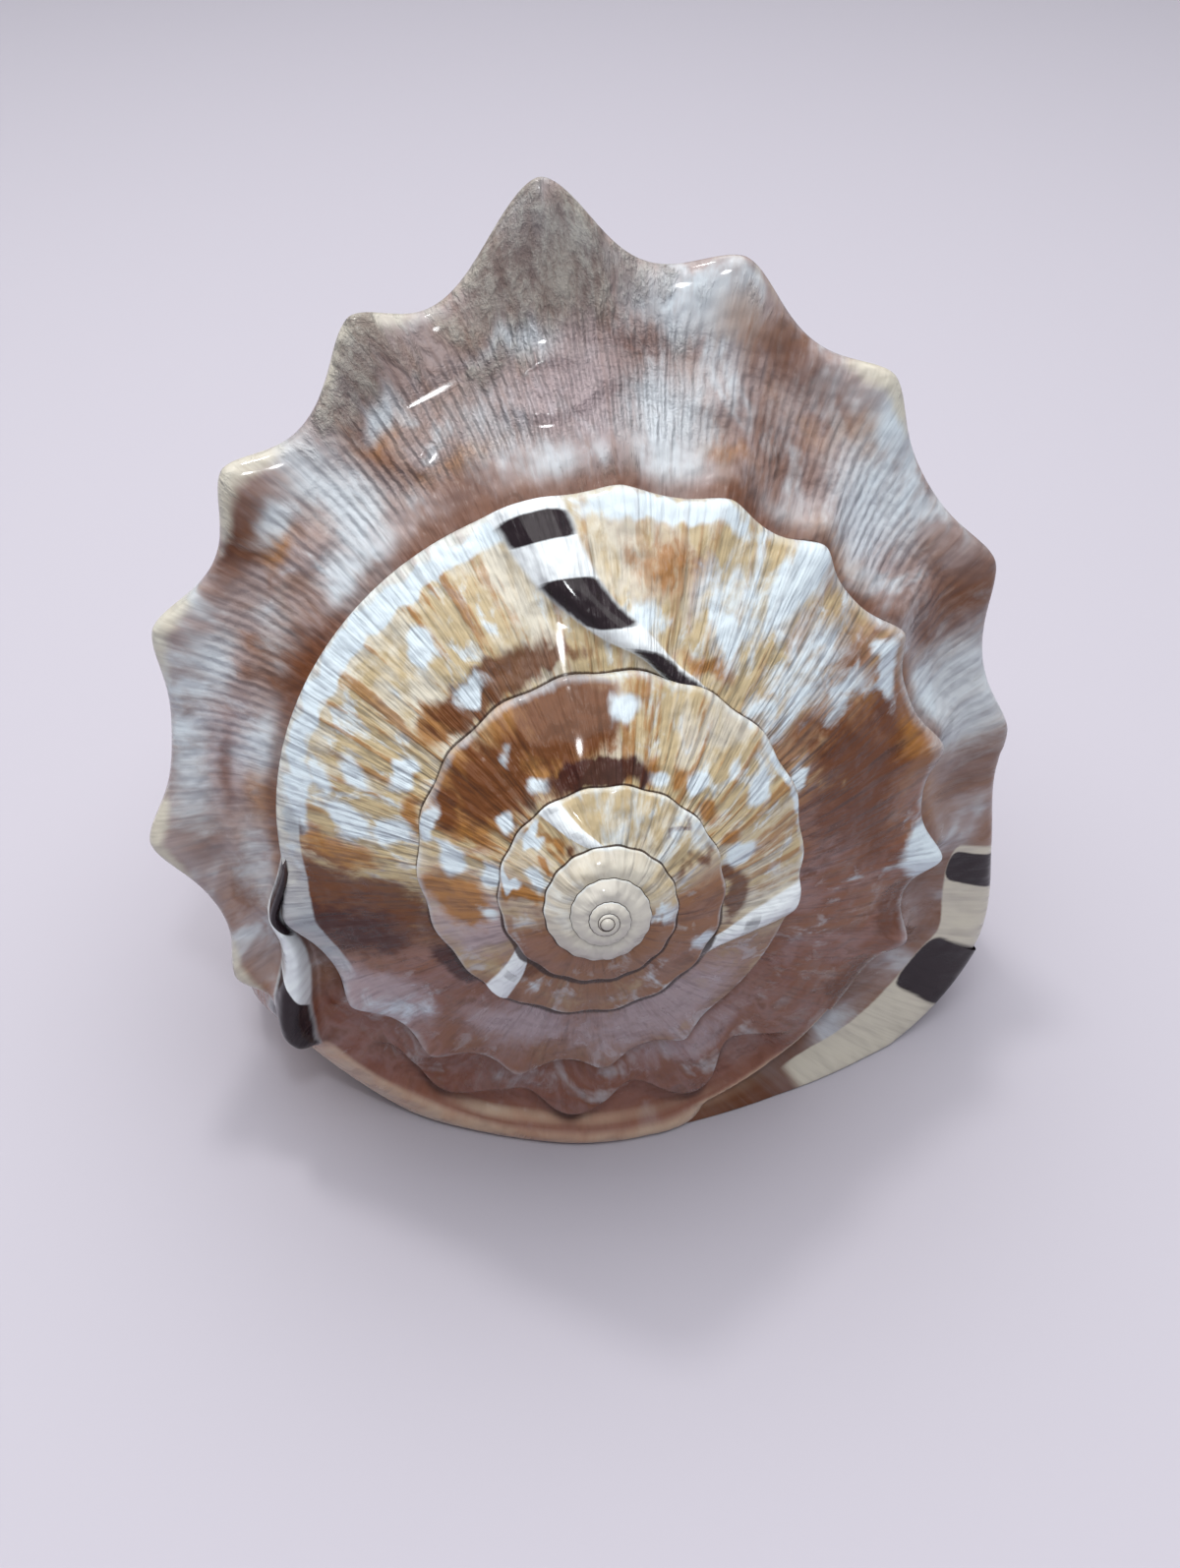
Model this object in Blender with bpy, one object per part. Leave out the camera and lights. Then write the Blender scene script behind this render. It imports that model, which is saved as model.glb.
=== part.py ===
# Helmet shell, lying on its flat underside with the apex towards -Y and the canal towards +Y.
# Lengths are millimetres in the constants and metres in the mesh. Angles are degrees.
# A place on the shell is named by three values:
#   age    growth angle, 0 at the last lip and lower for older shell; one whorl is 360
#   across 0 at the seam with the whorl before, 1 at the shoulder
#   depth  distance below the apex along the coiling axis

import bpy
import bmesh
import numpy as np
from mathutils import Matrix, Vector

MM = 0.001

# How the coiling axis lies: it sinks towards the canal and swings a little to the left.
AXIS_DROOP = 16.2
AXIS_SWING = 6.8
AGE_FACING_DOWN = 45.3

# Shoulder radius at points along the growth.
SHOULDER_AGE = [-2160, -1980, -1800, -1620, -1440, -1260, -1080, -990, -900, -810, -720, -675, -640, -600,
                -540, -495, -450, -405, -360, -337, -315, -292, -247, -229, -202, -180, -157, -135, -112, -90,
                -67, -45, -30, -14, 2, 10, 18, 26, 34]
SHOULDER_RADIUS = [3.6, 5.1, 6.7, 8.6, 11, 15, 18.9, 22.2, 26.9, 30.3, 33.5, 37.8, 42.3, 45,
                   47.4, 50, 52.5, 56, 60, 61, 58.5, 60, 57.8, 61, 64, 66, 72, 78, 78.5, 75,
                   71.5, 67.5, 68.5, 75, 70, 63.5, 59, 55.5, 53]
SPIRE_HEIGHT = 43.2
SPIRE_RADIUS = 60
SPIRE_BOW = 1.15
SHOULDER_LIFT_AGE = [-2160, -900, -780, -700, -640, -580, -500, -460, -400, -375, -337, -315, -292, -262, -230,
                     -100, -16, 6, 34]
SHOULDER_LIFT = [1, 1, 1.02, 1.05, 1.05, 1.02, 1, 1, 1, 0.98, 0.87, 0.83, 0.93, 1, 1,
                 1, 1, 0.94, 0.94]
SEAM_STEP = 0.06
SEAM_TUCK = 0.02
RAMP_BULGE = 0.02
RAMP_DIP = 0.03
APEX_RADIUS = 4
APEX_DEPTH = 3.6
TUBE_START_AGE = -2140
TUBE_STEP = 2
PAST_SHOULDER = (1.05, 1.11, 1.17)
BODY_STEP = 2
CAP_BELOW_RAMP = 4

# Knobs on the shoulder: age, height, half width.
LAST_KNOBS = [(-250, 5, 9), (-227, 6, 10), (-198, 5.5, 10), (-177, 7, 9), (-156, 8, 9), (-135, 15, 11),
              (-114, 7, 10), (-94, 6, 9), (-69, 5.5, 10), (-47, 3.5, 9)]
OLD_KNOBS = [(-697, 2.4, 8), (-677, 2.7, 8), (-658, 3, 8), (-640, 3.3, 8), (-621, 3, 8), (-599, 3, 9),
             (-486, 1.4, 8), (-468, 2.4, 8), (-451, 3.2, 7), (-431, 3.6, 7), (-410, 4, 7), (-391, 5, 6),
             (-376, 4.4, 6)]
KNOB_SPREAD = 0.62
KNOB_POWER = 1.7
FINE_KNOB_STEP = 20
FINE_KNOB_PART = 0.022
FINE_KNOBS_END = (-770, -735)
KNOB_REACH = 0.45
KNOB_DROP = 15
RAMP_ROW_ACROSS = 0.5
RAMP_ROW_SPREAD = 0.11
RAMP_ROW_PART = 0.26
RAMP_ROW_MOST = 2.4
LOWER_ROWS = [(36, 0.4), (62, 0.3)]
LOWER_ROW_SPREAD = 7

# Old lips left as ribs: age at the shoulder, lean and curl towards the seam, height, half width.
RIBS = [(-262, 20, 14, 8, 3.4), (-502, 10, 28, 2.8, 5.6), (-748, 10, 14, 1.6, 5), (-992, 8, 8, 1.1, 4.6),
        (-1240, 12, 12, 0.8, 5.5)]

# Outer wall below the shoulder: radius as a part of the shoulder radius, and depth below the shoulder.
WALL_RADIUS = [1, 0.985, 0.94, 0.85, 0.72, 0.56, 0.4, 0.28, 0.23]
WALL_DROP = [0, 8, 22, 43, 65, 86, 104, 118, 130]
CANAL_DEPTH = 182
CANAL_LIFT = 13
CANAL_LIFT_FROM = 135
CANAL_TIP = 0.95
CANAL_TIP_THIN = 0.96

# Rims of the underside: depth and radius for the lip and for the edge of the shield.
LIP_AGE = -14
LIP_END_AGE = 34
LIP_FLARE = 11
LIP_SINK = 4
LIP_DEPTH = [30, 44, 60, 84, 104, 130, 156, 176, 190]
LIP_RADIUS = [60, 74, 86, 87, 84, 71, 50, 28, 20]
LIP_FLARE_FROM = -85
LIP_ROLL = 8
LIP_BASE_RADIUS = 70
LIP_BASE_PART = 0.65
GROOVE_AGES = (2, 9, 26, 33)
GROOVE_ACROSS = 0.22
GROOVE_SPREAD = 0.2
GROOVE_DEPTH = 3

# Wavy ledge along the newest whorl where it faces the table: ages, place across, wave and drop.
LEDGE_AGES = (-354, -346, -290, -270)
LEDGE_ACROSS = 0.62
LEDGE_WAVE = 0.14
LEDGE_STEP = 22
LEDGE_OUTWARD_AGE = -333
LEDGE_DEPTH = 2.6
SHIELD_AGE = -262
SHIELD_DEPTH = [30, 42, 60, 84, 110, 135, 158, 176, 190]
SHIELD_RADIUS = [54, 61, 69, 71, 64, 50, 33, 23, 18]
SHIELD_ROLL = 9
BELLY_FULL_AGE = -346
BELLY_LOW_AGES = (-342, -326)
BELLY_TOP_DROP = (9, 18)

# The table the shell rests on, below the apex.
REST_DEPTH = 71
UNDERSIDE_HOLLOW = 2.2
LEAST_FACING = 0.2
CLEAR_OF_TABLE = 0.3

# Mouth: centre line on the underside in X and Y from the apex, and its width.
MOUTH_LINE = [(45, 46), (46, 62), (43, 82), (36, 102), (22, 122), (6, 142), (-9, 160), (-20, 178), (-24, 192)]
MOUTH_WIDTH = [4, 7.2, 8.4, 8.6, 8.4, 8, 7.4, 7, 7]
MOUTH_HEIGHT = [5, 11, 15, 17, 17, 16, 16, 24, 34]
TOOTH_PITCH = 8
TOOTH_DEPTH = 1.4
MOUTH_STATIONS = 64

VOXEL = 0.9
FLAT_SNAP = 0.3
SMOOTH_ROUNDS = 5
KEEP_TRIANGLES = 8600


def smooth_curve(x, xs, ys):
    """Cubic curve through the points (xs, ys)."""
    xs = np.asarray(xs, float)
    ys = np.asarray(ys, float)
    x = np.clip(x, xs[0], xs[-1])
    slope = np.gradient(ys, xs)
    i = np.clip(np.searchsorted(xs, x, side="right") - 1, 0, len(xs) - 2)
    width = xs[i + 1] - xs[i]
    u = (x - xs[i]) / width
    start = ys[i] * (1 + 2 * u) * (1 - u) ** 2 + slope[i] * width * u * (1 - u) ** 2
    end = ys[i + 1] * u * u * (3 - 2 * u) + slope[i + 1] * width * u * u * (u - 1)
    return start + end


def ease(x, low, high):
    u = np.clip((x - low) / (high - low), 0, 1)
    return u * u * (3 - 2 * u)


def plain_radius(age):
    return np.exp(smooth_curve(age, SHOULDER_AGE, np.log(SHOULDER_RADIUS)))


def shoulder_depth(age):
    part = plain_radius(age) / SPIRE_RADIUS
    cone = SPIRE_HEIGHT * np.where(part < 1, part ** SPIRE_BOW, part)
    return cone * smooth_curve(age, SHOULDER_LIFT_AGE, SHOULDER_LIFT)


def knob_height(age):
    total = np.zeros_like(age)
    for centre, height, half in LAST_KNOBS + OLD_KNOBS:
        total = total + height * np.exp(-(np.abs(age - centre) / (KNOB_SPREAD * half)) ** KNOB_POWER)
    wave = 0.5 + 0.5 * np.cos(np.radians(age * 360 / FINE_KNOB_STEP))
    early = ease(-age, -FINE_KNOBS_END[1], -FINE_KNOBS_END[0])
    return total + FINE_KNOB_PART * plain_radius(age) * wave * early


def rib_line(number, across):
    """Age of a rib at a place across the ramp: it leans more and more towards the seam."""
    at, lean, curl, height, half = RIBS[number]
    inward = 1 - across
    return at + lean * inward + curl * inward ** 4


def rib_height(age, across):
    total = np.zeros_like(age)
    for number, (at, lean, curl, height, half) in enumerate(RIBS):
        scale = 0.55 + 0.45 * across
        total = total + height * scale * np.exp(-((age - rib_line(number, across)) / half) ** 4)
    return total


def groove(age, across):
    """The gutter where the lip meets the whorl before."""
    start, full, fading, end = GROOVE_AGES
    length = ease(age, start, full) * (1 - ease(age, fading, end))
    return GROOVE_DEPTH * length * np.exp(-((across - GROOVE_ACROSS) / GROOVE_SPREAD) ** 2)


def ledge(age, across):
    """The step down outside the wavy ledge."""
    start, full, fading, end = LEDGE_AGES
    length = ease(age, start, full) * (1 - ease(age, fading, end))
    wave = np.cos(np.radians((age - LEDGE_OUTWARD_AGE) * 360 / LEDGE_STEP))
    line = LEDGE_ACROSS + LEDGE_WAVE * wave
    return LEDGE_DEPTH * length * ease(across - line, -0.03, 0.06) * (1 - ease(across, 0.85, 1))


def whorl_top(age, across):
    """Radius and depth on the ramp of a whorl, from the seam to just past the shoulder."""
    a = np.clip(across, 0, 1)
    before = age - 360
    edge = plain_radius(age)
    seam_radius = plain_radius(before) * (1 - SEAM_TUCK) + knob_height(before)
    seam_depth = shoulder_depth(before) + SEAM_STEP * plain_radius(before)
    radius = seam_radius + (edge - seam_radius) * a
    depth = seam_depth + (shoulder_depth(age) - seam_depth) * a
    bulge = np.sin(np.pi * a)
    depth = depth - RAMP_BULGE * edge * bulge * ease(-age, 250, 420)
    depth = depth + RAMP_DIP * edge * bulge ** 2 * ease(age, -350, -200)
    knob = knob_height(age) * np.clip((a - 1 + KNOB_REACH) / KNOB_REACH, 0, 1) ** 2
    row = RAMP_ROW_PART * knob_height(age) * np.exp(-((a - RAMP_ROW_ACROSS) / RAMP_ROW_SPREAD) ** 2)
    rib = rib_height(age, a)
    radius = radius + 0.95 * knob + 0.35 * rib * a
    depth = depth - 0.3 * knob - np.minimum(row * ease(age, -255, -230), RAMP_ROW_MOST) - 0.85 * rib
    lip = ease(age, LIP_FLARE_FROM, LIP_AGE) ** 2 * a ** 2
    radius = radius + lip * LIP_FLARE
    depth = depth + lip * LIP_SINK + groove(age, a) + ledge(age, a)
    past = np.clip(across - 1, 0, 1)
    depth = depth + past * 0.6 * edge
    radius = radius - past ** 2 * 1.2 * edge
    return keep_above_table(age, radius, depth, CLEAR_OF_TABLE), depth


def wall(age, down):
    """Radius and depth on the outer wall of the last whorl, from the shoulder to the canal."""
    edge, top = whorl_top(age, np.ones_like(age))
    base = plain_radius(age)
    drop = smooth_curve(down, np.linspace(0, 1, len(WALL_DROP)), WALL_DROP)
    part = smooth_curve(down, np.linspace(0, 1, len(WALL_RADIUS)), WALL_RADIUS)
    depth = top + (CANAL_DEPTH - top) * drop / WALL_DROP[-1]
    even = np.clip(drop / WALL_DROP[-1], 0, 1)
    foot = base * (1 - LIP_BASE_PART) + LIP_BASE_RADIUS * LIP_BASE_PART
    radius = (base * (1 - even) + foot * even) * part + (edge - base) * np.exp(-(drop / KNOB_DROP) ** 2)
    for at, height in LOWER_ROWS:
        row = np.exp(-((drop - at) / LOWER_ROW_SPREAD) ** 2)
        radius = radius + height * knob_height(age) * row * ease(age, -240, -220)
    lip_rim = smooth_curve(depth, LIP_DEPTH, LIP_RADIUS)
    shield_rim = smooth_curve(depth, SHIELD_DEPTH, SHIELD_RADIUS)
    flare = 0.55 * ease(age, LIP_FLARE_FROM, LIP_AGE) ** 1.5
    roll = 0.45 * ease(age, LIP_AGE - LIP_ROLL - 4, LIP_AGE - 4)
    radius = radius + np.maximum(lip_rim - radius, 0) * (flare + roll) * ease(drop, 0, 14)
    ridge = ease(-age, -SHIELD_AGE - SHIELD_ROLL, -SHIELD_AGE - 2)
    radius = radius + np.maximum(shield_rim - radius, 0) * ridge * ease(drop, 0, 10)
    under = ease(-age, -SHIELD_AGE, -BELLY_FULL_AGE)
    belly = shield_rim * (1 - under) + lip_rim * under
    low = ease(-age, -BELLY_LOW_AGES[1], -BELLY_LOW_AGES[0])
    first = BELLY_TOP_DROP[0] * low - 6 * (1 - low)
    last = BELLY_TOP_DROP[1] * low + 6 * (1 - low)
    fade = ease(drop, first, last)
    blended = np.maximum(radius, belly * fade + radius * (1 - fade))
    radius = np.where(age < SHIELD_AGE, blended, radius)
    flat = table_radius(age, depth)
    cut = np.clip(1 - flat / radius, 0, 1)
    radius = np.minimum(radius, flat - UNDERSIDE_HOLLOW * ease(cut, 0.04, 0.2))
    tip = np.clip((down - CANAL_TIP) / (1 - CANAL_TIP), 0, 1)
    return radius * np.sqrt(1 - CANAL_TIP_THIN * tip ** 2), depth


def rest_distance(depth):
    """How far the table is from the coiling axis, square to the axis."""
    droop = np.radians(AXIS_DROOP)
    return (REST_DEPTH - depth * np.sin(droop)) / np.cos(droop)


def canal_lift(depth):
    return CANAL_LIFT * np.clip((depth - CANAL_LIFT_FROM) / (CANAL_DEPTH - CANAL_LIFT_FROM), 0, 1) ** 2


def table_radius(age, depth):
    """Radius at which the table is met, and a very large one where the shell faces away from it."""
    facing = np.cos(np.radians(age - AGE_FACING_DOWN))
    reach = (rest_distance(depth) + canal_lift(depth)) / np.maximum(facing, LEAST_FACING)
    return np.where(facing > LEAST_FACING, reach, 1000.0)


def keep_above_table(age, radius, depth, clear):
    return np.minimum(radius, table_radius(age, depth) - clear)


def place(age, radius, depth):
    """Turn age, radius and depth into a point, measured from the apex."""
    droop = np.radians(AXIS_DROOP)
    swing = np.radians(AXIS_SWING)
    axis = np.array([-np.sin(swing) * np.cos(droop), np.cos(swing) * np.cos(droop), -np.sin(droop)])
    down = np.array([0, 0, -1.0]) - axis * np.sin(droop)
    down = down / np.linalg.norm(down)
    right = np.cross(down, axis)
    turn = np.radians(age - AGE_FACING_DOWN)
    point = radius[..., None] * (np.cos(turn)[..., None] * down - np.sin(turn)[..., None] * right)
    point = point + depth[..., None] * axis
    return point - canal_lift(depth)[..., None] * down


def add_mesh(name, points, faces):
    mesh = bpy.data.meshes.new(name)
    mesh.from_pydata([tuple(p) for p in points], [], faces)
    mesh.update()
    body = bpy.data.objects.new(name, mesh)
    bpy.context.scene.collection.objects.link(body)
    return body


def loft(name, rings):
    """Closed skin through rings of equal length, with flat fans at both ends."""
    count = len(rings[0])
    points = np.concatenate(rings)
    faces = []
    for i in range(len(rings) - 1):
        for j in range(count):
            k = (j + 1) % count
            faces.append((i * count + j, i * count + k, (i + 1) * count + k, (i + 1) * count + j))
    faces.append(tuple(range(count - 1, -1, -1)))
    faces.append(tuple((len(rings) - 1) * count + j for j in range(count)))
    body = add_mesh(name, points, faces)
    bm = bmesh.new()
    bm.from_mesh(body.data)
    bmesh.ops.triangulate(bm, faces=[f for f in bm.faces if len(f.verts) > 4])
    bmesh.ops.recalc_face_normals(bm, faces=bm.faces)
    bm.to_mesh(body.data)
    bm.free()
    return body


def spiral_tube():
    """The coiled whorls: each section is the ramp on top and a return path inside the shell."""
    across = np.concatenate([np.linspace(0, 1, 15), PAST_SHOULDER])
    rings = []
    for age in np.arange(TUBE_START_AGE, LIP_END_AGE, TUBE_STEP):
        radius, depth = whorl_top(np.full(across.shape, float(age)), across)
        edge = float(plain_radius(float(age)))
        under = 0.06 * edge
        ring_radius = np.concatenate([radius, [0.02 * edge, 0.01 * edge]])
        ring_depth = np.concatenate([depth, [depth[-1] + under, depth[0] + under]])
        rings.append(place(np.full(ring_radius.shape, float(age)), ring_radius, ring_depth) * MM)
    return loft("whorls", rings)


def body_shape():
    """The last whorl below its shoulder, closed at the canal and filled under the spire."""
    down = np.linspace(0, 1, 46)
    across = np.array([0, 0.25, 0.5, 0.75, 0.93])
    columns = []
    for age in np.arange(LIP_AGE - 360, LIP_AGE, BODY_STEP):
        radius, depth = wall(np.full(down.shape, age), down)
        ramp_radius, ramp_depth = whorl_top(np.full(across.shape, age), across)
        ramp_depth = ramp_depth + CAP_BELOW_RAMP
        top_radius = np.concatenate([[0.5, 0.5 * ramp_radius[0]], ramp_radius, radius])
        top_depth = np.concatenate([ramp_depth[:1], ramp_depth[:1], ramp_depth, depth])
        columns.append(place(np.full(top_radius.shape, age), top_radius, top_depth) * MM)
    return loft_ring("body", columns)


def loft_ring(name, columns):
    """Closed skin through columns set round the axis, with a point at the top and at the foot."""
    rows = len(columns[0])
    points = np.concatenate(columns)
    count = len(columns)
    top = points[0::rows].mean(axis=0)
    foot = points[rows - 1::rows].mean(axis=0)
    points = np.concatenate([points, [top, foot]])
    faces = []
    for i in range(count):
        k = (i + 1) % count
        for j in range(rows - 1):
            faces.append((i * rows + j, i * rows + j + 1, k * rows + j + 1, k * rows + j))
        faces.append((len(points) - 2, i * rows, k * rows))
        faces.append((len(points) - 1, k * rows + rows - 1, i * rows + rows - 1))
    body = add_mesh(name, points, faces)
    bm = bmesh.new()
    bm.from_mesh(body.data)
    bmesh.ops.recalc_face_normals(bm, faces=bm.faces)
    bm.to_mesh(body.data)
    bm.free()
    return body


def apex_cap():
    bpy.ops.mesh.primitive_uv_sphere_add(segments=24, ring_count=12, radius=APEX_RADIUS * MM)
    cap = bpy.context.active_object
    centre = place(np.array(0.0), np.array(0.0), np.array(APEX_DEPTH)) * MM
    cap.data.transform(Matrix.Translation(Vector(centre)))
    return cap


def evaluated_copy(body):
    graph = bpy.context.evaluated_depsgraph_get()
    return bpy.data.meshes.new_from_object(body.evaluated_get(graph))


def apply_modifiers(body):
    mesh = evaluated_copy(body)
    body.modifiers.clear()
    body.data = mesh


def join(bodies, name):
    """One object from several, with their shapes still overlapping."""
    bm = bmesh.new()
    for body in bodies:
        bm.from_mesh(body.data)
    mesh = bpy.data.meshes.new(name)
    bm.to_mesh(mesh)
    bm.free()
    for body in bodies:
        bpy.data.objects.remove(body)
    joined = bpy.data.objects.new(name, mesh)
    bpy.context.scene.collection.objects.link(joined)
    return joined


def remesh(body):
    step = body.modifiers.new("fuse", "REMESH")
    step.mode = "VOXEL"
    step.voxel_size = VOXEL * MM
    step.adaptivity = 0
    soften = body.modifiers.new("soften", "SMOOTH")
    soften.factor = 0.5
    soften.iterations = SMOOTH_ROUNDS
    apply_modifiers(body)


def flatten_underside(body):
    floor = -REST_DEPTH * MM
    for vertex in body.data.vertices:
        if vertex.co.z < floor + FLAT_SNAP * MM:
            vertex.co.z = floor


def reduce(body, wanted):
    triangles = sum(len(p.vertices) - 2 for p in body.data.polygons)
    step = body.modifiers.new("reduce", "DECIMATE")
    step.ratio = wanted / triangles
    step.use_collapse_triangulate = True
    apply_modifiers(body)


def mouth_cutter():
    """The slit of the mouth with a toothed edge, and the hollow behind it."""
    at = np.linspace(0, len(MOUTH_LINE) - 1, MOUTH_STATIONS)
    index = np.arange(len(MOUTH_LINE))
    line = np.array(MOUTH_LINE, float)
    x = smooth_curve(at, index, line[:, 0])
    y = smooth_curve(at, index, line[:, 1])
    width = smooth_curve(at, index, MOUTH_WIDTH)
    height = smooth_curve(at, index, MOUTH_HEIGHT)
    run = np.concatenate([[0], np.cumsum(np.hypot(np.diff(x), np.diff(y)))])
    tooth = TOOTH_DEPTH * (0.5 - 0.5 * np.cos(2 * np.pi * run / TOOTH_PITCH)) * ease(width, 7, 10)
    side = np.stack([np.gradient(y), -np.gradient(x)], 1)
    side = side / np.linalg.norm(side, axis=1)[:, None]
    rings = []
    for i in range(MOUTH_STATIONS):
        half = width[i] / 2
        deep = height[i]
        shield_side = -half + 0.6 * tooth[i]
        lip_side = half - tooth[i]
        outline = [(shield_side, -8), (lip_side, -8), (lip_side, 3), (half, 5), (half * 0.9, 0.6 * deep),
                   (half * 0.4, deep), (-half * 0.4, deep), (-half * 0.9, 0.6 * deep), (shield_side, 4)]
        ring = [(x[i] + side[i][0] * u, y[i] + side[i][1] * u, -REST_DEPTH + v) for u, v in outline]
        rings.append(np.array(ring) * MM)
    return loft("mouth_cutter", rings)


def cut(body, cutter):
    cutter.hide_render = True
    cutter.display_type = "WIRE"
    step = body.modifiers.new("mouth", "BOOLEAN")
    step.operation = "DIFFERENCE"
    step.solver = "EXACT"
    step.object = cutter
    apply_modifiers(body)
    bpy.data.objects.remove(cutter)


def centre_on_table(body):
    corners = np.array([tuple(v.co) for v in body.data.vertices])
    low = corners.min(axis=0)
    high = corners.max(axis=0)
    shift = Vector((-(low[0] + high[0]) / 2, -(low[1] + high[1]) / 2, -low[2]))
    body.data.transform(Matrix.Translation(shift))


def shell_material():
    material = bpy.data.materials.new("shell")
    material.use_nodes = True
    shader = material.node_tree.nodes["Principled BSDF"]
    shader.inputs["Base Color"].default_value = (0.52, 0.36, 0.27, 1)
    shader.inputs["Roughness"].default_value = 0.32
    shader.inputs["Metallic"].default_value = 0
    return material


def main():
    for old in list(bpy.data.objects):
        bpy.data.objects.remove(old)
    shell = join([spiral_tube(), body_shape(), apex_cap()], "helmet_shell")
    remesh(shell)
    flatten_underside(shell)
    reduce(shell, KEEP_TRIANGLES)
    flatten_underside(shell)
    cut(shell, mouth_cutter())
    centre_on_table(shell)
    shell.data.materials.append(shell_material())
    shell.data.shade_smooth()


main()
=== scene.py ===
import bpy
import numpy as np
from mathutils import Matrix, Vector


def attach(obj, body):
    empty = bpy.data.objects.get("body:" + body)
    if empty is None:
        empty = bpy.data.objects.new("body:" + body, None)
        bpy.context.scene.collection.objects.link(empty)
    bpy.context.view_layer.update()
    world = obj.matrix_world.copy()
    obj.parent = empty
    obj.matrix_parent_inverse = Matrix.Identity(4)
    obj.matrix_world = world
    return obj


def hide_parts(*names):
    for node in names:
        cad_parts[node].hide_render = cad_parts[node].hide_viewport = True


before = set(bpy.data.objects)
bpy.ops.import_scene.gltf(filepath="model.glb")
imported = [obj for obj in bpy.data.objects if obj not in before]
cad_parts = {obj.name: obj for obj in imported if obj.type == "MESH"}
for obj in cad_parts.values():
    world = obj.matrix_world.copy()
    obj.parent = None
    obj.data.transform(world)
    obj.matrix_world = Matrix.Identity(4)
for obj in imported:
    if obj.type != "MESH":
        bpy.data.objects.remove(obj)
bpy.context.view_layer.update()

MM = 0.001

# How the coiling axis lies: it sinks towards the canal and swings a little to the left.
AXIS_DROOP = 16.2
AXIS_SWING = 6.8
AGE_FACING_DOWN = 45.3

# Shoulder radius at points along the growth.
SHOULDER_AGE = [-2880, -2520, -2160, -1980, -1800, -1620, -1440, -1260, -1080, -990, -900, -810, -720,
                -675, -640, -600, -540, -495, -450, -405, -360, -337, -315, -292, -247, -229, -202, -180,
                -157, -135, -112, -90, -67, -45, -30, -14, 2, 10, 18, 26, 34]
SHOULDER_RADIUS = [0.9, 1.8, 3.6, 5.1, 6.7, 8.6, 11, 15, 18.9, 22.2, 26.9, 30.3, 33.5, 37.8, 42.3, 45,
                   47.4, 50, 52.5, 56, 60, 61, 58.5, 60, 57.8, 61, 64, 66, 72, 78, 78.5, 75, 71.5, 67.5,
                   68.5, 75, 70, 63.5, 59, 55.5, 53]
SPIRE_HEIGHT = 43.2
SPIRE_RADIUS = 60
SPIRE_BOW = 1.15
SHOULDER_LIFT_AGE = [-2880, -900, -780, -700, -640, -580, -500, -460, -400, -375, -337, -315, -292, -262,
                     -230, -100, -16, 6, 34]
SHOULDER_LIFT = [1, 1, 1.02, 1.05, 1.05, 1.02, 1, 1, 1, 0.98, 0.87, 0.83, 0.93, 1, 1, 1, 1, 0.94, 0.94]
SEAM_STEP = 0.06
SEAM_TUCK = 0.02
RAMP_BULGE = 0.02
RAMP_DIP = 0.03
YOUNG_BULGE = 0.08
BULGE_AGES = (-250, -420)
YOUNG_BULGE_AGES = (-1300, -1700)
DIP_AGES = (-350, -200)

# How a ramp bends down past its shoulder: depth and radius, as parts of the shoulder radius.
PAST_DEPTH = 0.6
PAST_RADIUS = 1.2

# Knobs on the shoulder: age, height, half width.
LAST_KNOBS = [(-250, 5, 9), (-227, 6, 10), (-198, 5.5, 10), (-177, 7, 9), (-156, 8, 9), (-135, 15, 11),
              (-114, 7, 10), (-94, 6, 9), (-69, 5.5, 10), (-47, 3.5, 9)]
OLD_KNOBS = [(-697, 2.4, 8), (-677, 2.7, 8), (-658, 3, 8), (-640, 3.3, 8), (-621, 3, 8), (-599, 3, 9),
             (-486, 1.4, 8), (-468, 2.4, 8), (-451, 3.2, 7), (-431, 3.6, 7), (-410, 4, 7), (-391, 5, 6),
             (-376, 4.4, 6)]
KNOB_SPREAD = 0.62
KNOB_POWER = 1.7
FINE_KNOB_STEP = 20
FINE_KNOB_PART = 0.022
FINE_KNOB_AGES = (-735, -770)
KNOB_REACH = 0.45
KNOB_DROP = 15
KNOB_OUT = 0.95
KNOB_UP = 0.3
RAMP_ROW_ACROSS = 0.5
RAMP_ROW_SPREAD = 0.13
RAMP_ROW_PART = 0.24
RAMP_ROW_MOST = 1.5
RAMP_ROW_AGES = (-255, -230)
LOWER_ROWS = [(36, 0.4), (62, 0.3)]
LOWER_ROW_SPREAD = 7
LOWER_ROW_AGES = (-240, -220)

# Old lips left as ribs: age at the shoulder, lean and curl towards the seam, height, half width.
RIBS = [(-262, 20, 14, 8, 4.6), (-502, 10, 28, 3.6, 6), (-748, 10, 14, 2, 5), (-992, 8, 8, 1.3, 4.6),
        (-1240, 12, 12, 0.8, 5.5)]
RIB_AT_SEAM = 0.55
RIB_RISE = 0.45
RIB_OUT = 0.35
RIB_UP = 0.85

# Outer wall below the shoulder: radius as a part of the shoulder radius, and depth below the shoulder.
WALL_RADIUS = [1, 0.985, 0.94, 0.85, 0.72, 0.56, 0.4, 0.28, 0.23]
WALL_DROP = [0, 8, 22, 43, 65, 86, 104, 118, 130]
CANAL_DEPTH = 182
CANAL_LIFT = 13
CANAL_LIFT_FROM = 135
CANAL_TIP = 0.95
CANAL_TIP_THIN = 0.9998

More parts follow.
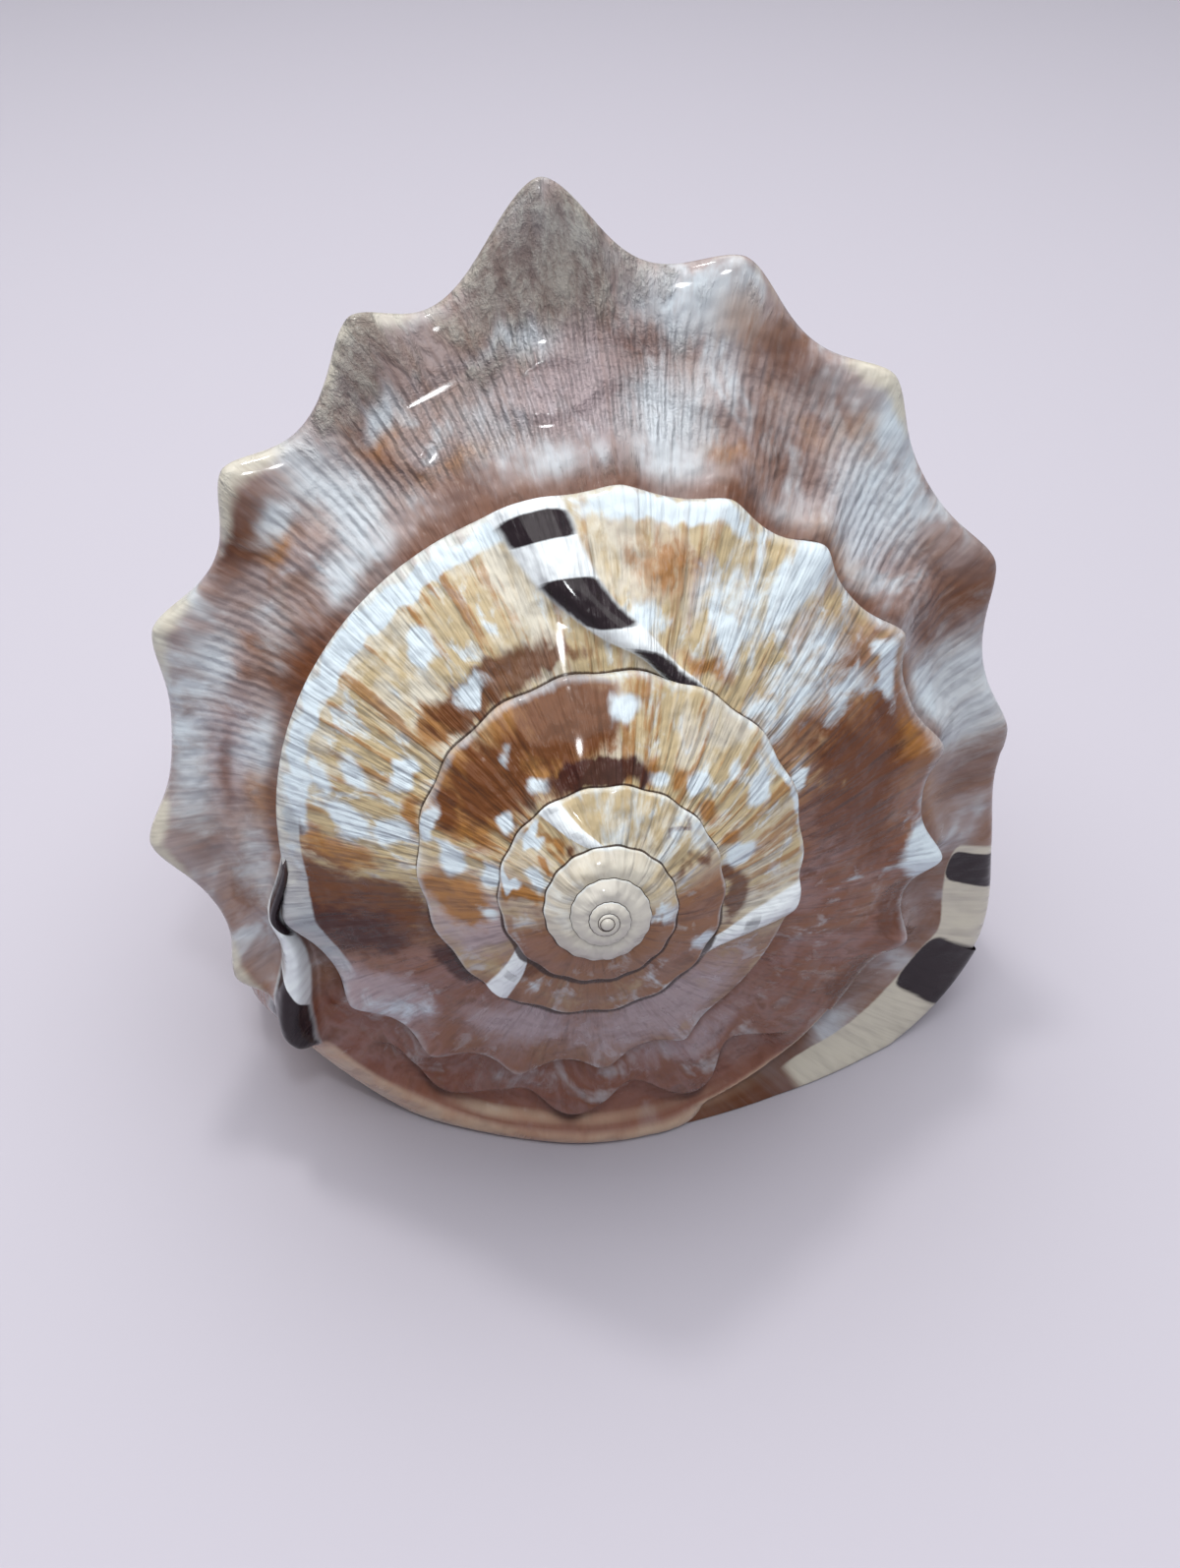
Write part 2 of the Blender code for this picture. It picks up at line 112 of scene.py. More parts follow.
# Lip: depth and radius of its rim, how it flares and rolls over, and the gutter at its end.
LIP_AGE = -14
LIP_END_AGE = 34
LIP_FLARE = 11
LIP_SINK = 4
LIP_DEPTH = [30, 44, 60, 84, 104, 130, 156, 176, 190]
LIP_RADIUS = [60, 74, 86, 87, 84, 71, 50, 28, 20]
LIP_FLARE_FROM = -85
LIP_FLARE_PART = 0.55
LIP_ROLL = 8
LIP_ROLL_END = 4
LIP_ROLL_PART = 0.45
LIP_TOP_DROP = 14
LIP_BASE_RADIUS = 70
LIP_BASE_PART = 0.65
GROOVE_AGES = (2, 9, 26, 33)
GROOVE_ACROSS = 0.22
GROOVE_SPREAD = 0.2
GROOVE_DEPTH = 3

# Wavy ledge along the newest whorl where it faces the table: ages, place across, wave and drop.
LEDGE_AGES = (-354, -346, -290, -270)
LEDGE_ACROSS = 0.62
LEDGE_WAVE = 0.17
LEDGE_STEP = 22
LEDGE_OUTWARD_AGE = -333
LEDGE_DEPTH = 4
LEDGE_SLOPE = (-0.03, 0.06)
LEDGE_END = (0.85, 1)

# Shield and belly: depth and radius of the shield's rim, how it rolls over, and where the belly is full.
SHIELD_AGE = -262
SHIELD_DEPTH = [30, 42, 60, 84, 110, 135, 158, 176, 190]
SHIELD_RADIUS = [54, 61, 69, 71, 64, 50, 33, 23, 18]
SHIELD_ROLL = 9
SHIELD_ROLL_END = 2
SHIELD_TOP_DROP = 10
BELLY_FULL_AGE = -346
BELLY_LOW_AGES = (-326, -342)
BELLY_TOP_DROP = (9, 18)
BELLY_EDGE_DROP = (-6, 6)

# The table the shell rests on, below the apex.
REST_DEPTH = 71
UNDERSIDE_HOLLOW = 2.2
HOLLOW_CUT = (0.04, 0.2)
LEAST_FACING = 0.2
CLEAR_OF_TABLE = 0.3
FAR_AWAY = 1000.0

# Mouth: centre line on the underside in X and Y from the apex, its width and height, and its teeth.
MOUTH_LINE = [(45, 46), (46, 62), (43, 82), (36, 102), (22, 122), (6, 142), (-9, 160), (-20, 178),
              (-24, 192)]
MOUTH_POINTS = 240
MOUTH_WIDTH = [4, 7.2, 8.4, 8.6, 8.4, 8, 7.4, 7, 7]
MOUTH_HEIGHT = [5, 11, 15, 17, 17, 16, 16, 24, 34]
MOUTH_EDGE = (-1.2, 0.9)
MOUTH_TOP = 9
TOOTH_PITCH = 8
TOOTH_DEPTH = 1.4
TOOTHED_HALF_WIDTH = (3.3, 4)

# How fine the sheets are, in millimetres and degrees, where they start, and their rows across.
OLDEST_AGE = -2860
OLD_STEP = 0.52
LAST_STEP = 0.4
OLD_STEP_MOST = 2.5
UNDER_SEAM = -0.03
OLD_RAMP_ROWS = np.linspace(UNDER_SEAM, 0.9, 44)
OLD_SHOULDER_ROWS = np.linspace(0.92, 1.17, 16)
RAMP_ROWS = 64
WALL_ROWS = 130
OVERLAP_ROWS = 14
APEX_RADIUS = 1.1
APEX_DEPTH = 1.0

# How far a shoulder's rounding reaches, how many rounds it takes, and how much reach it keeps.
OLD_ROUNDING = 0.05
OLD_ROUNDS = 12
LAST_ROUNDING_ROWS = 9.0
LAST_ROUNDS = 40
KEPT_REACH = 0.8

# How far the growth lines lag behind at the seam, and the steps in which their length is added up.
GROWTH_LEAN = 4
ARC_STEP = 2.0
ARC_MARGIN = 60

# Where the middle of the shell's box is, measured from the apex.
MIDDLE_X = 0.2
MIDDLE_Y = 89.36

# Ground colour of the shell along its growth: 0 is cream, 1 is pinkish brown.
GROUND_AGE = [-2160, -1500, -1470, -1330, -1310, -1240, -1150, -1115, -1000, -965, -930, -850, -750, -735,
              -620, -600, -575, -500, -480, -455, -432, -395, -262, -245, -200, -100, -30, 40]
GROUND = [0.15, 0.15, 0.75, 0.75, 0.45, 0.25, 0.2, 0.75, 0.7, 0.5, 0.3, 0.3, 0.15, 0.6, 0.95, 0.7, 0.15,
          0.1, 0.3, 0.35, 0.6, 0.9, 1, 0.6, 0.45, 0.5, 0.6, 0.9]

# How strongly thin ochre lines cross the ramp.
LINES_AGE = [-1320, -1300, -1250, -1235, -970, -940, -850, -760, -740, -590, -570, -520, -505, -490, -460,
             -430]
LINES = [0, 0.6, 0.9, 0.1, 0.1, 0.8, 1, 0.8, 0.1, 0.1, 0.8, 1, 0.6, 0.5, 0.5, 0.1]

# Patches of each marking: age, across, half length in age, half width across, strength.
WHITE_PATCHES = [
    (-458, 0.6, 12, 0.5, 0.5), (-1480, 0.5, 10, 0.6, 0.6), (-1200, 0.5, 24, 0.8, 0.4),
    (-1315, 0.5, 8, 0.5, 0.4), (-1276, 0.3, 6, 0.3, 0.8), (-1254, 0.75, 5, 0.25, 0.9),
    (-1285, 0.8, 4, 0.2, 0.8), (-1160, 0.5, 12, 0.7, 0.45), (-1095, 0.85, 6, 0.2, 0.7),
    (-1060, 0.4, 9, 0.4, 0.4), (-1003, 0.5, 5, 0.3, 0.4), (-930, 0.12, 6, 0.12, 0.9),
    (-928, 0.6, 6, 0.16, 0.9), (-921, 0.92, 6, 0.08, 0.9), (-952, 0.2, 4, 0.12, 0.5),
    (-903, 0.18, 5, 0.1, 0.8), (-880, 0.2, 5, 0.1, 0.7), (-842, 0.7, 4, 0.12, 1),
    (-824, 0.15, 5, 0.08, 0.8), (-808, 0.27, 4, 0.12, 1), (-787, 0.68, 5, 0.16, 1),
    (-772, 0.25, 4, 0.15, 1), (-800, 0.6, 3, 0.12, 0.6), (-780, 0.97, 20, 0.05, 0.6),
    (-886, 0.65, 3, 0.1, 0.5), (-625, 0.8, 7, 0.3, 0.45), (-570, 0.2, 5, 0.11, 0.9),
    (-571, 0.48, 3.5, 0.14, 1), (-560, 0.5, 3, 0.12, 0.8), (-553, 0.2, 5, 0.08, 1),
    (-566, 0.72, 4, 0.08, 0.7), (-530, 0.58, 3, 0.1, 1), (-524, 0.2, 4, 0.07, 1),
    (-540, 0.9, 34, 0.06, 1.1), (-572, 0.84, 6, 0.07, 1), (-512, 0.9, 12, 0.05, 0.9),
    (-460, 0.36, 3.5, 0.12, 0.9), (-453, 0.8, 4, 0.25, 0.9), (-482, 0.3, 7, 0.1, 0.7),
    (-478, 0.93, 14, 0.06, 1), (-441, 0.4, 8, 0.6, 0.55), (-436, 0.3, 4, 0.3, 0.6),
    (-428, 0.88, 6, 0.06, 0.8), (-393, 0.93, 4.5, 0.1, 1.1), (-420, 0.08, 4, 0.07, 0.8),
    (-443, 0.12, 7, 0.12, 0.6), (-388, 0.5, 5, 0.25, 0.3), (-376, 0.35, 6, 0.3, 0.3),
    (-431, 0.6, 4, 0.25, 0.5), (-208, 0.2, 6, 0.2, 0.8), (-216, 0.8, 10, 0.16, 0.7),
    (-200, 0.7, 5, 0.14, 0.7), (-174, 0.15, 4, 0.2, 0.9), (-168, 0.5, 4, 0.6, 0.8),
    (-189, 0.4, 4, 0.2, 0.35), (-232, 0.3, 8, 0.3, 0.5), (-236, 0.12, 5, 0.1, 0.7),
    (-137, 0.2, 5, 0.1, 0.6), (-118, 0.3, 6, 0.28, 0.8), (-138, 0.7, 4, 0.06, 0.8),
    (-120, 0.85, 7, 0.14, 0.7), (-86, 0.55, 7, 0.4, 0.85), (-90, 0.9, 5, 0.12, 0.9),
    (-54, 0.6, 7, 0.5, 1.1), (-157, 0.7, 3, 0.06, 0.7), (-176, 0.73, 3, 0.06, 0.9),
    (-144, 0.4, 6, 0.2, 0.4), (-98, 0.12, 4, 0.06, 0.4), (-30, 0.25, 4, 0.3, 0.3), (4, 0.5, 4, 0.25, 0.5),
    (-262, 0.1, 3, 0.12, 0.6), (-300, 0.3, 6, 0.2, 0.25), (-131, 0.95, 9, 0.05, 0.5),
    (-103, 0.5, 3, 0.2, 0.3), (-154, 0.97, 9, 0.05, 0.5), (-178, 0.98, 6, 0.03, 0.5),
    (-200, 0.98, 6, 0.04, 0.7)]
OCHRE_PATCHES = [
    (-1290, 0.5, 5, 0.5, 0.7), (-1247, 0.4, 5, 0.4, 0.7), (-1264, 0.3, 3, 0.3, 0.6),
    (-945, 0.55, 12, 0.35, 0.9), (-905, 0.6, 16, 0.5, 1), (-870, 0.6, 20, 0.5, 1.1),
    (-816, 0.2, 4, 0.12, 0.8), (-797, 0.15, 5, 0.1, 0.9), (-780, 0.2, 3, 0.12, 0.7),
    (-828, 0.2, 4, 0.16, 0.7), (-580, 0.55, 4, 0.3, 0.8), (-590, 0.7, 6, 0.25, 0.7),
    (-563, 0.08, 8, 0.07, 0.7), (-536, 0.17, 7, 0.1, 0.9), (-475, 0.62, 8, 0.22, 0.5),
    (-462, 0.14, 9, 0.06, 0.7), (-446, 0.55, 3, 0.2, 0.5), (-428, 0.75, 4, 0.12, 0.5),
    (-414, 0.85, 5, 0.15, 0.6), (-218, 0.18, 6, 0.16, 0.8), (-228, 0.1, 6, 0.08, 0.7),
    (-180, 0.68, 3, 0.07, 0.9), (-150, 0.32, 7, 0.05, 0.6), (-113, 0.84, 4, 0.09, 0.8),
    (-93, 0.75, 3.5, 0.1, 0.8), (-86, 0.12, 7, 0.12, 0.8), (-62, 0.1, 6, 0.1, 0.8),
    (-40, 0.18, 5, 0.2, 0.7), (-158, 0.62, 3, 0.05, 0.6), (-108, 0.25, 5, 0.05, 0.6),
    (-98, 0.6, 4, 0.08, 0.4)]
BROWN_PATCHES = [
    (-1145, 0.5, 5, 0.5, 0.6), (-1166, 0.7, 2, 0.3, 0.7), (-1240, 0.15, 5, 0.15, 0.6),
    (-990, 0.3, 6, 0.3, 0.8), (-862, 0.65, 17, 0.42, 0.85), (-893, 0.5, 18, 0.45, 0.8),
    (-915, 0.8, 9, 0.2, 0.7), (-755, 0.17, 10, 0.13, 0.9), (-765, 0.1, 6, 0.1, 0.7),
    (-740, 0.55, 6, 0.3, 0.4), (-596, 0.5, 11, 0.5, 1.1), (-596, 0.1, 12, 0.14, 0.7),
    (-520, 0.16, 16, 0.12, 1), (-400, 0.6, 12, 0.3, 0.6), (-500, 0.14, 10, 0.06, 0.7),
    (-467, 0.73, 9, 0.14, 0.35), (-443, 0.62, 2, 0.12, 0.6), (-412, 0.45, 17, 0.35, 0.75),
    (-420, 0.8, 8, 0.12, 0.6), (-403, 0.2, 10, 0.2, 0.5), (-382, 0.9, 7, 0.12, 0.8),
    (-365, 0.9, 5, 0.15, 0.9), (-214, 0.5, 7, 0.07, 0.7), (-226, 0.75, 4, 0.14, 0.8),
    (-190, 0.13, 9, 0.14, 0.85), (-182, 0.85, 8, 0.12, 0.85), (-194, 0.5, 5, 0.4, 0.3),
    (-151, 0.12, 8, 0.14, 0.8), (-156, 0.8, 5, 0.12, 0.5), (-123, 0.55, 4, 0.25, 0.7),
    (-102, 0.4, 9, 0.16, 0.8), (-104, 0.8, 9, 0.13, 0.75), (-67, 0.65, 6.5, 0.4, 1),
    (-66, 0.9, 8, 0.12, 0.8), (-74, 0.2, 4, 0.15, 0.4), (-41, 0.7, 4, 0.25, 0.6), (24, 0.5, 9, 1.2, 1),
    (-21, 0.35, 10, 0.3, 0.7), (0, 0.2, 8, 0.25, 0.8), (-282, 0.5, 9, 0.6, 0.3), (-296, 0.4, 3, 0.3, 0.5),
    (-315, 0.7, 5, 0.2, 0.5), (-250, 0.1, 4, 0.1, 0.5)]
LILAC_PATCHES = [
    (-695, 0.4, 30, 0.6, 0.9), (-650, 0.35, 16, 0.4, 0.8), (-955, 0.5, 20, 0.6, 0.95),
    (-622, 0.85, 9, 0.3, 1.2), (-405, 0.3, 14, 0.3, 0.5), (-335, 0.2, 20, 0.2, 0.6),
    (-130, 0.45, 14, 0.3, 0.7), (-210, 0.5, 12, 0.4, 0.6), (-85, 0.4, 12, 0.3, 0.6)]
DARK_PATCHES = [
    (-854, 0.13, 21, 0.12, 1.2), (-1028, 0.95, 8, 0.1, 0.3), (-616, 0.1, 9, 0.1, 0.8),
    (-600, 0.6, 9, 0.35, 0.6), (-579, 0.9, 4, 0.1, 0.6), (-151, 0.16, 5, 0.08, 0.45),
    (-129, 0.08, 6, 0.09, 0.6), (-102, 0.13, 5, 0.09, 0.5), (-182, 0.93, 5, 0.06, 0.4),
    (-343, 0.85, 7, 0.3, 0.5), (-368, 0.02, 10, 0.06, 0.5)]
WORN_PATCHES = [
    (-135, 0.9, 12, 0.16, 1), (-157, 0.9, 9, 0.14, 0.8), (-141, 0.65, 5, 0.07, 0.8),
    (-178, 0.97, 6, 0.07, 0.35), (-113, 0.93, 6, 0.06, 0.45), (-128, 0.12, 6, 0.12, 0.4),
    (-122, 0.7, 6, 0.08, 0.3), (-92, 0.98, 5, 0.04, 0.3)]

# How pale the tips of the newest whorl's knobs are, along its growth.
TIP_AGE = [-262, -250, -180, -157, -135, -125, -106, -94, -84, -74, 0]
TIP = [0.3, 0.9, 0.9, 0.8, 0.4, 0.2, 0.4, 0.95, 0.7, 0.1, 0.1]

# Bars across the ribs: rib number, from and to along the ramp from seam (0) to shoulder (1), strength. Rib
# 0's bar from -0.1 to 0.2 is a painted shadow beside the rib, by the seam.
DARK_BARS = [
    (0, 0.62, 1.1, 1), (0, -0.1, 0.2, 0.9), (1, 0.27, 0.56, 1), (1, 0.78, 0.94, 1),
    (1, -0.02, 0.15, 0.75), (2, 0.35, 0.55, 0.45), (3, 0.42, 0.6, 0.45), (4, 0.27, 0.45, 0.4),
    (4, 0.86, 1, 0.4)]
# Bars across the lip: age and half width.
LIP_DARK_BARS = [(-26, 2.7), (-10.5, 4.8)]
LIP_BAND_AGES = (-31, -28, 8, 18)

# Where the marks for the paint begin and end, how wide they are and how strong.
NEWEST_AGES = (-362, -358)
RAMP_LENGTH = 1.2
WALL_DROPS = (4, 16)
CALLUS_AGES = (-262, -270)
CALLUS_DROPS = (1, 6)
CALLUS_ACROSS = (0.94, 1)
CALLUS_AT_SHOULDER = 0.7
LEVEL = (0.5, 0.8)
TABLE_GAP = (5, 9)
THREAD_AGES = (-235, -195, -70, -50)
CLEAR_THREAD_AGES = (-170, -155, -126, -108)
FAINT_THREADS = 0.3
THREAD_ACROSS = (0.2, 0.32, 0.72, 0.84)
YOUNG_AGES = (-1760, -1440)
WHITE_RIM_AGES = (-625, -595, -514, -504)
WHITE_RIM_ACROSS = (0.8, 0.88)
WHITE_RIM = 1.6
# Painted highlight along the older whorls' shoulder edge: where it lies across, how strong it is, and how
# much weaker where the shell faces the table.
RIM_ACROSS = (0.84, 1)
RIM_HIGHLIGHT = 0.6
RIM_SHADE = 0.1
# Width of the painted shade beside the newest seam.
NEWEST_SEAM_SHADE_WIDTH = 3.4
TIP_AGES = (-262, -250)
TIP_ACROSS = (0.84, 1)
TIP_DROPS = (2, 20)
TIP_KNOB = 4
RIB_PAINT = 1.1
BAR_EDGE = 0.02
LIP_BAND_ACROSS = (0.56, 0.68)
LIP_BAND_DROPS = (26, 38)
# Painted shade at the foot of the wavy ledge: where its dark line lies and how wide it is.
LEDGE_LINE = 0.07
LEDGE_LINE_WIDTH = 0.05
LEDGE_OUTSIDE = (0, 0.08)
MOUTH_DARK = (1.5, 6)

# The painted shade in a seam's crease, drawn as a dark line: its width, how it widens with the whorl, and
# towards the table.
SEAM_LINE = 0.2
SEAM_CORE = 0.45
SEAM_LINE_GROWTH = 0.3
SEAM_LINE_RADII = (6, 20)
SEAM_SHADE = 2.8
SEAM_SHADE_RADII = (8, 30)
SEAM_SHADE_AGES = (-60, -20)
SEAM_END_AGES = (-16, 0)
# How dark the painted shade in the lip's gutter is, by the gutter's depth.
GROOVE_SHADE = 0.9

# How ragged the patches are: size in parts of the ramp, length of a wave in millimetres, and seed.
PATCH_FRINGE = [(0.03, 3.2, 1), (0.02, 1.4, 2)]
# How they sway along the growth: size in millimetres, waves across, length of a wave, and seed.
PATCH_SWAY = [(1.5, 4, 30, 3), (0.8, 9, 17, 4)]
PATCH_FALL = 0.7
RIPPLE_VALUES = 512

# Camera, as in the photograph.
SENSOR = 36
PHOTO_HEIGHT = 1594
FOCAL_PIXELS = 1600
CAMERA_FROM_APEX = (-2.4, -150.5, 148.7)
CAMERA_PITCH = 39.5
CAMERA_NEAR = 0.01

# Floor, sky and lights. A light has its name, place, target, size, power and colour.
FLOOR_SIZE = 6
FLOOR_COLOUR = (0.485, 0.465, 0.53, 1)
FLOOR_ROUGHNESS = 0.8
SKY_COLOUR = (0.93, 0.95, 1.0, 1)
SKY_STRENGTH = 0.36
LIGHTS = [("ceiling", (-0.05, 0.15, 1.0), (0, 0, 0.05), 1.7, 14.6, (1, 0.99, 0.98)),
          ("lamp", (-0.12, 0.12, 0.75), (0, 0, 0.08), 0.1, 1.2, (1, 0.98, 0.95)),
          ("window", (0.06, -0.42, 0.66), (0, 0, 0.06), 0.07, 0.8, (0.95, 0.98, 1))]


def smooth_curve(x, xs, ys):
    """Cubic curve through the points (xs, ys)."""
    xs = np.asarray(xs, float)
    ys = np.asarray(ys, float)
    x = np.clip(x, xs[0], xs[-1])
    slope = np.gradient(ys, xs)
    i = np.clip(np.searchsorted(xs, x, side="right") - 1, 0, len(xs) - 2)
    width = xs[i + 1] - xs[i]
    u = (x - xs[i]) / width
    start = ys[i] * (1 + 2 * u) * (1 - u) ** 2 + slope[i] * width * u * (1 - u) ** 2
    end = ys[i + 1] * u * u * (3 - 2 * u) + slope[i + 1] * width * u * u * (u - 1)
    return start + end


def ease(x, low, high):
    """0 up to low, 1 from high, and a smooth step between them."""
    u = np.clip((x - low) / (high - low), 0, 1)
    return u * u * (3 - 2 * u)


def between(x, start, full, fading, end):
    """0 outside start and end, and 1 from full to fading."""
    return ease(x, start, full) * (1 - ease(x, fading, end))


def older(age, none, full):
    """0 on shell younger than the first age, and 1 on shell older than the second."""
    return ease(-age, -none, -full)


def plain_radius(age):
    """Radius of the shoulder without its knobs."""
    return np.exp(smooth_curve(age, SHOULDER_AGE, np.log(SHOULDER_RADIUS)))


def shoulder_depth(age):
    """Depth of the shoulder below the apex, along the coiling axis."""
    part = plain_radius(age) / SPIRE_RADIUS
    cone = SPIRE_HEIGHT * np.where(part < 1, part ** SPIRE_BOW, part)
    return cone * smooth_curve(age, SHOULDER_LIFT_AGE, SHOULDER_LIFT)


def knob_height(age):
    """Height of the knobs on the shoulder."""
    total = np.zeros_like(age)
    for centre, height, half in LAST_KNOBS + OLD_KNOBS:
        total = total + height * np.exp(-(np.abs(age - centre) / (KNOB_SPREAD * half)) ** KNOB_POWER)
    wave = 0.5 + 0.5 * np.cos(np.radians(age * 360 / FINE_KNOB_STEP))
    return total + FINE_KNOB_PART * plain_radius(age) * wave * older(age, *FINE_KNOB_AGES)


def rib_line(number, across):
    """Age of a rib at a place across the ramp: it leans more and more towards the seam."""
    at, lean, curl, height, half = RIBS[number]
    inward = 1 - across
    return at + lean * inward + curl * inward ** 4


def rib_height(age, across):
    """Height of the ribs of earlier lips."""
    total = np.zeros_like(age)
    for number, (at, lean, curl, height, half) in enumerate(RIBS):
        scale = RIB_AT_SEAM + RIB_RISE * across
        total = total + height * scale * np.exp(-np.abs((age - rib_line(number, across)) / half) ** 3)
    return total


def groove(age, across):
    """The gutter where the lip meets the whorl before."""
    hollow = np.exp(-((across - GROOVE_ACROSS) / GROOVE_SPREAD) ** 2)
    return GROOVE_DEPTH * between(age, *GROOVE_AGES) * hollow


def past_ledge(age, across):
    """How far outside the wavy ledge a place on the ramp is."""
    wave = np.cos(np.radians((age - LEDGE_OUTWARD_AGE) * 360 / LEDGE_STEP))
    return across - LEDGE_ACROSS - LEDGE_WAVE * wave


def ledge(age, across):
    """The step down outside the wavy ledge."""
    step = ease(past_ledge(age, across), *LEDGE_SLOPE) * (1 - ease(across, *LEDGE_END))
    return LEDGE_DEPTH * between(age, *LEDGE_AGES) * step


def whorl_top(age, across):
    """Radius and depth on the ramp of a whorl, from the seam to just past the shoulder."""
    a = np.clip(across, 0, 1)
    before = age - 360
    edge = plain_radius(age)
    seam_radius = plain_radius(before) * (1 - SEAM_TUCK) + knob_height(before)
    seam_depth = shoulder_depth(before) + SEAM_STEP * plain_radius(before)
    radius = seam_radius + (edge - seam_radius) * a
    depth = seam_depth + (shoulder_depth(age) - seam_depth) * a
    bulge = np.sin(np.pi * a)
    depth = depth - RAMP_BULGE * edge * bulge * older(age, *BULGE_AGES)
    depth = depth - YOUNG_BULGE * edge * bulge * older(age, *YOUNG_BULGE_AGES)
    depth = depth + RAMP_DIP * edge * bulge ** 2 * ease(age, *DIP_AGES)
    knob = knob_height(age) * np.clip((a - 1 + KNOB_REACH) / KNOB_REACH, 0, 1) ** 2
    row = RAMP_ROW_PART * knob_height(age) * np.exp(-((a - RAMP_ROW_ACROSS) / RAMP_ROW_SPREAD) ** 2)
    row = np.minimum(row * ease(age, *RAMP_ROW_AGES), RAMP_ROW_MOST)
    rib = rib_height(age, a)
    radius = radius + KNOB_OUT * knob + RIB_OUT * rib * a
    depth = depth - KNOB_UP * knob - row - RIB_UP * rib
    lip = ease(age, LIP_FLARE_FROM, LIP_AGE) ** 2 * a ** 2
    radius = radius + lip * LIP_FLARE
    depth = depth + lip * LIP_SINK + groove(age, a) + ledge(age, a)
    past = np.clip(across - 1, 0, 1)
    depth = depth + past * PAST_DEPTH * edge
    radius = radius - past ** 2 * PAST_RADIUS * edge
    return keep_above_table(age, radius, depth), depth


def wall(age, down):
    """Radius and depth on the outer wall of the last whorl, from the shoulder to the canal."""
    edge, top = whorl_top(age, np.ones_like(age))
    base = plain_radius(age)
    drop = smooth_curve(down, np.linspace(0, 1, len(WALL_DROP)), WALL_DROP)
    part = smooth_curve(down, np.linspace(0, 1, len(WALL_RADIUS)), WALL_RADIUS)
    depth = top + (CANAL_DEPTH - top) * drop / WALL_DROP[-1]
    even = np.clip(drop / WALL_DROP[-1], 0, 1)
    foot = base * (1 - LIP_BASE_PART) + LIP_BASE_RADIUS * LIP_BASE_PART
    radius = (base * (1 - even) + foot * even) * part + (edge - base) * np.exp(-(drop / KNOB_DROP) ** 2)
    for at, height in LOWER_ROWS:
        row = np.exp(-((drop - at) / LOWER_ROW_SPREAD) ** 2)
        radius = radius + height * knob_height(age) * row * ease(age, *LOWER_ROW_AGES)
    lip_rim = smooth_curve(depth, LIP_DEPTH, LIP_RADIUS)
    shield_rim = smooth_curve(depth, SHIELD_DEPTH, SHIELD_RADIUS)
    flare = LIP_FLARE_PART * ease(age, LIP_FLARE_FROM, LIP_AGE) ** 1.5
    roll = LIP_ROLL_PART * ease(age, LIP_AGE - LIP_ROLL - LIP_ROLL_END, LIP_AGE - LIP_ROLL_END)
    radius = radius + np.maximum(lip_rim - radius, 0) * (flare + roll) * ease(drop, 0, LIP_TOP_DROP)
    ridge = older(age, SHIELD_AGE + SHIELD_ROLL, SHIELD_AGE + SHIELD_ROLL_END)
    radius = radius + np.maximum(shield_rim - radius, 0) * ridge * ease(drop, 0, SHIELD_TOP_DROP)
    under = older(age, SHIELD_AGE, BELLY_FULL_AGE)
    belly = shield_rim * (1 - under) + lip_rim * under
    low = older(age, *BELLY_LOW_AGES)
    first = BELLY_TOP_DROP[0] * low + BELLY_EDGE_DROP[0] * (1 - low)
    last = BELLY_TOP_DROP[1] * low + BELLY_EDGE_DROP[1] * (1 - low)
    fade = ease(drop, first, last)
    blended = np.maximum(radius, belly * fade + radius * (1 - fade))
    radius = np.where(age < SHIELD_AGE, blended, radius)
    flat = table_radius(age, depth)
    cut = np.clip(1 - flat / radius, 0, 1)
    radius = np.minimum(radius, flat - UNDERSIDE_HOLLOW * ease(cut, *HOLLOW_CUT))
    tip = np.clip((down - CANAL_TIP) / (1 - CANAL_TIP), 0, 1)
    return radius * np.sqrt(1 - CANAL_TIP_THIN * tip ** 2), depth, drop


def rest_distance(depth):
    """How far the table is from the coiling axis, square to the axis."""
    droop = np.radians(AXIS_DROOP)
    return (REST_DEPTH - depth * np.sin(droop)) / np.cos(droop)


def canal_lift(depth):
    """How far the canal turns up, away from the table."""
    return CANAL_LIFT * np.clip((depth - CANAL_LIFT_FROM) / (CANAL_DEPTH - CANAL_LIFT_FROM), 0, 1) ** 2


def table_radius(age, depth):
    """Radius at which the table is met, and a very large one where the shell faces away from it."""
    facing = np.cos(np.radians(age - AGE_FACING_DOWN))
    reach = (rest_distance(depth) + canal_lift(depth)) / np.maximum(facing, LEAST_FACING)
    return np.where(facing > LEAST_FACING, reach, FAR_AWAY)


def keep_above_table(age, radius, depth):
    """Hold a ramp back so that it stays clear of the table."""
    return np.minimum(radius, table_radius(age, depth) - CLEAR_OF_TABLE)


def place(age, radius, depth):
    """Turn age, radius and depth into a point of the row's frame, in metres."""
    droop = np.radians(AXIS_DROOP)
    swing = np.radians(AXIS_SWING)
    axis = np.array([-np.sin(swing) * np.cos(droop), np.cos(swing) * np.cos(droop), -np.sin(droop)])
    down = np.array([0, 0, -1.0]) - axis * np.sin(droop)
    down = down / np.linalg.norm(down)
    right = np.cross(down, axis)
    turn = np.radians(age - AGE_FACING_DOWN)
    point = radius[..., None] * (np.cos(turn)[..., None] * down - np.sin(turn)[..., None] * right)
    point = point + depth[..., None] * axis - canal_lift(depth)[..., None] * down
    return (point + np.array([-MIDDLE_X, -MIDDLE_Y, REST_DEPTH])) * MM


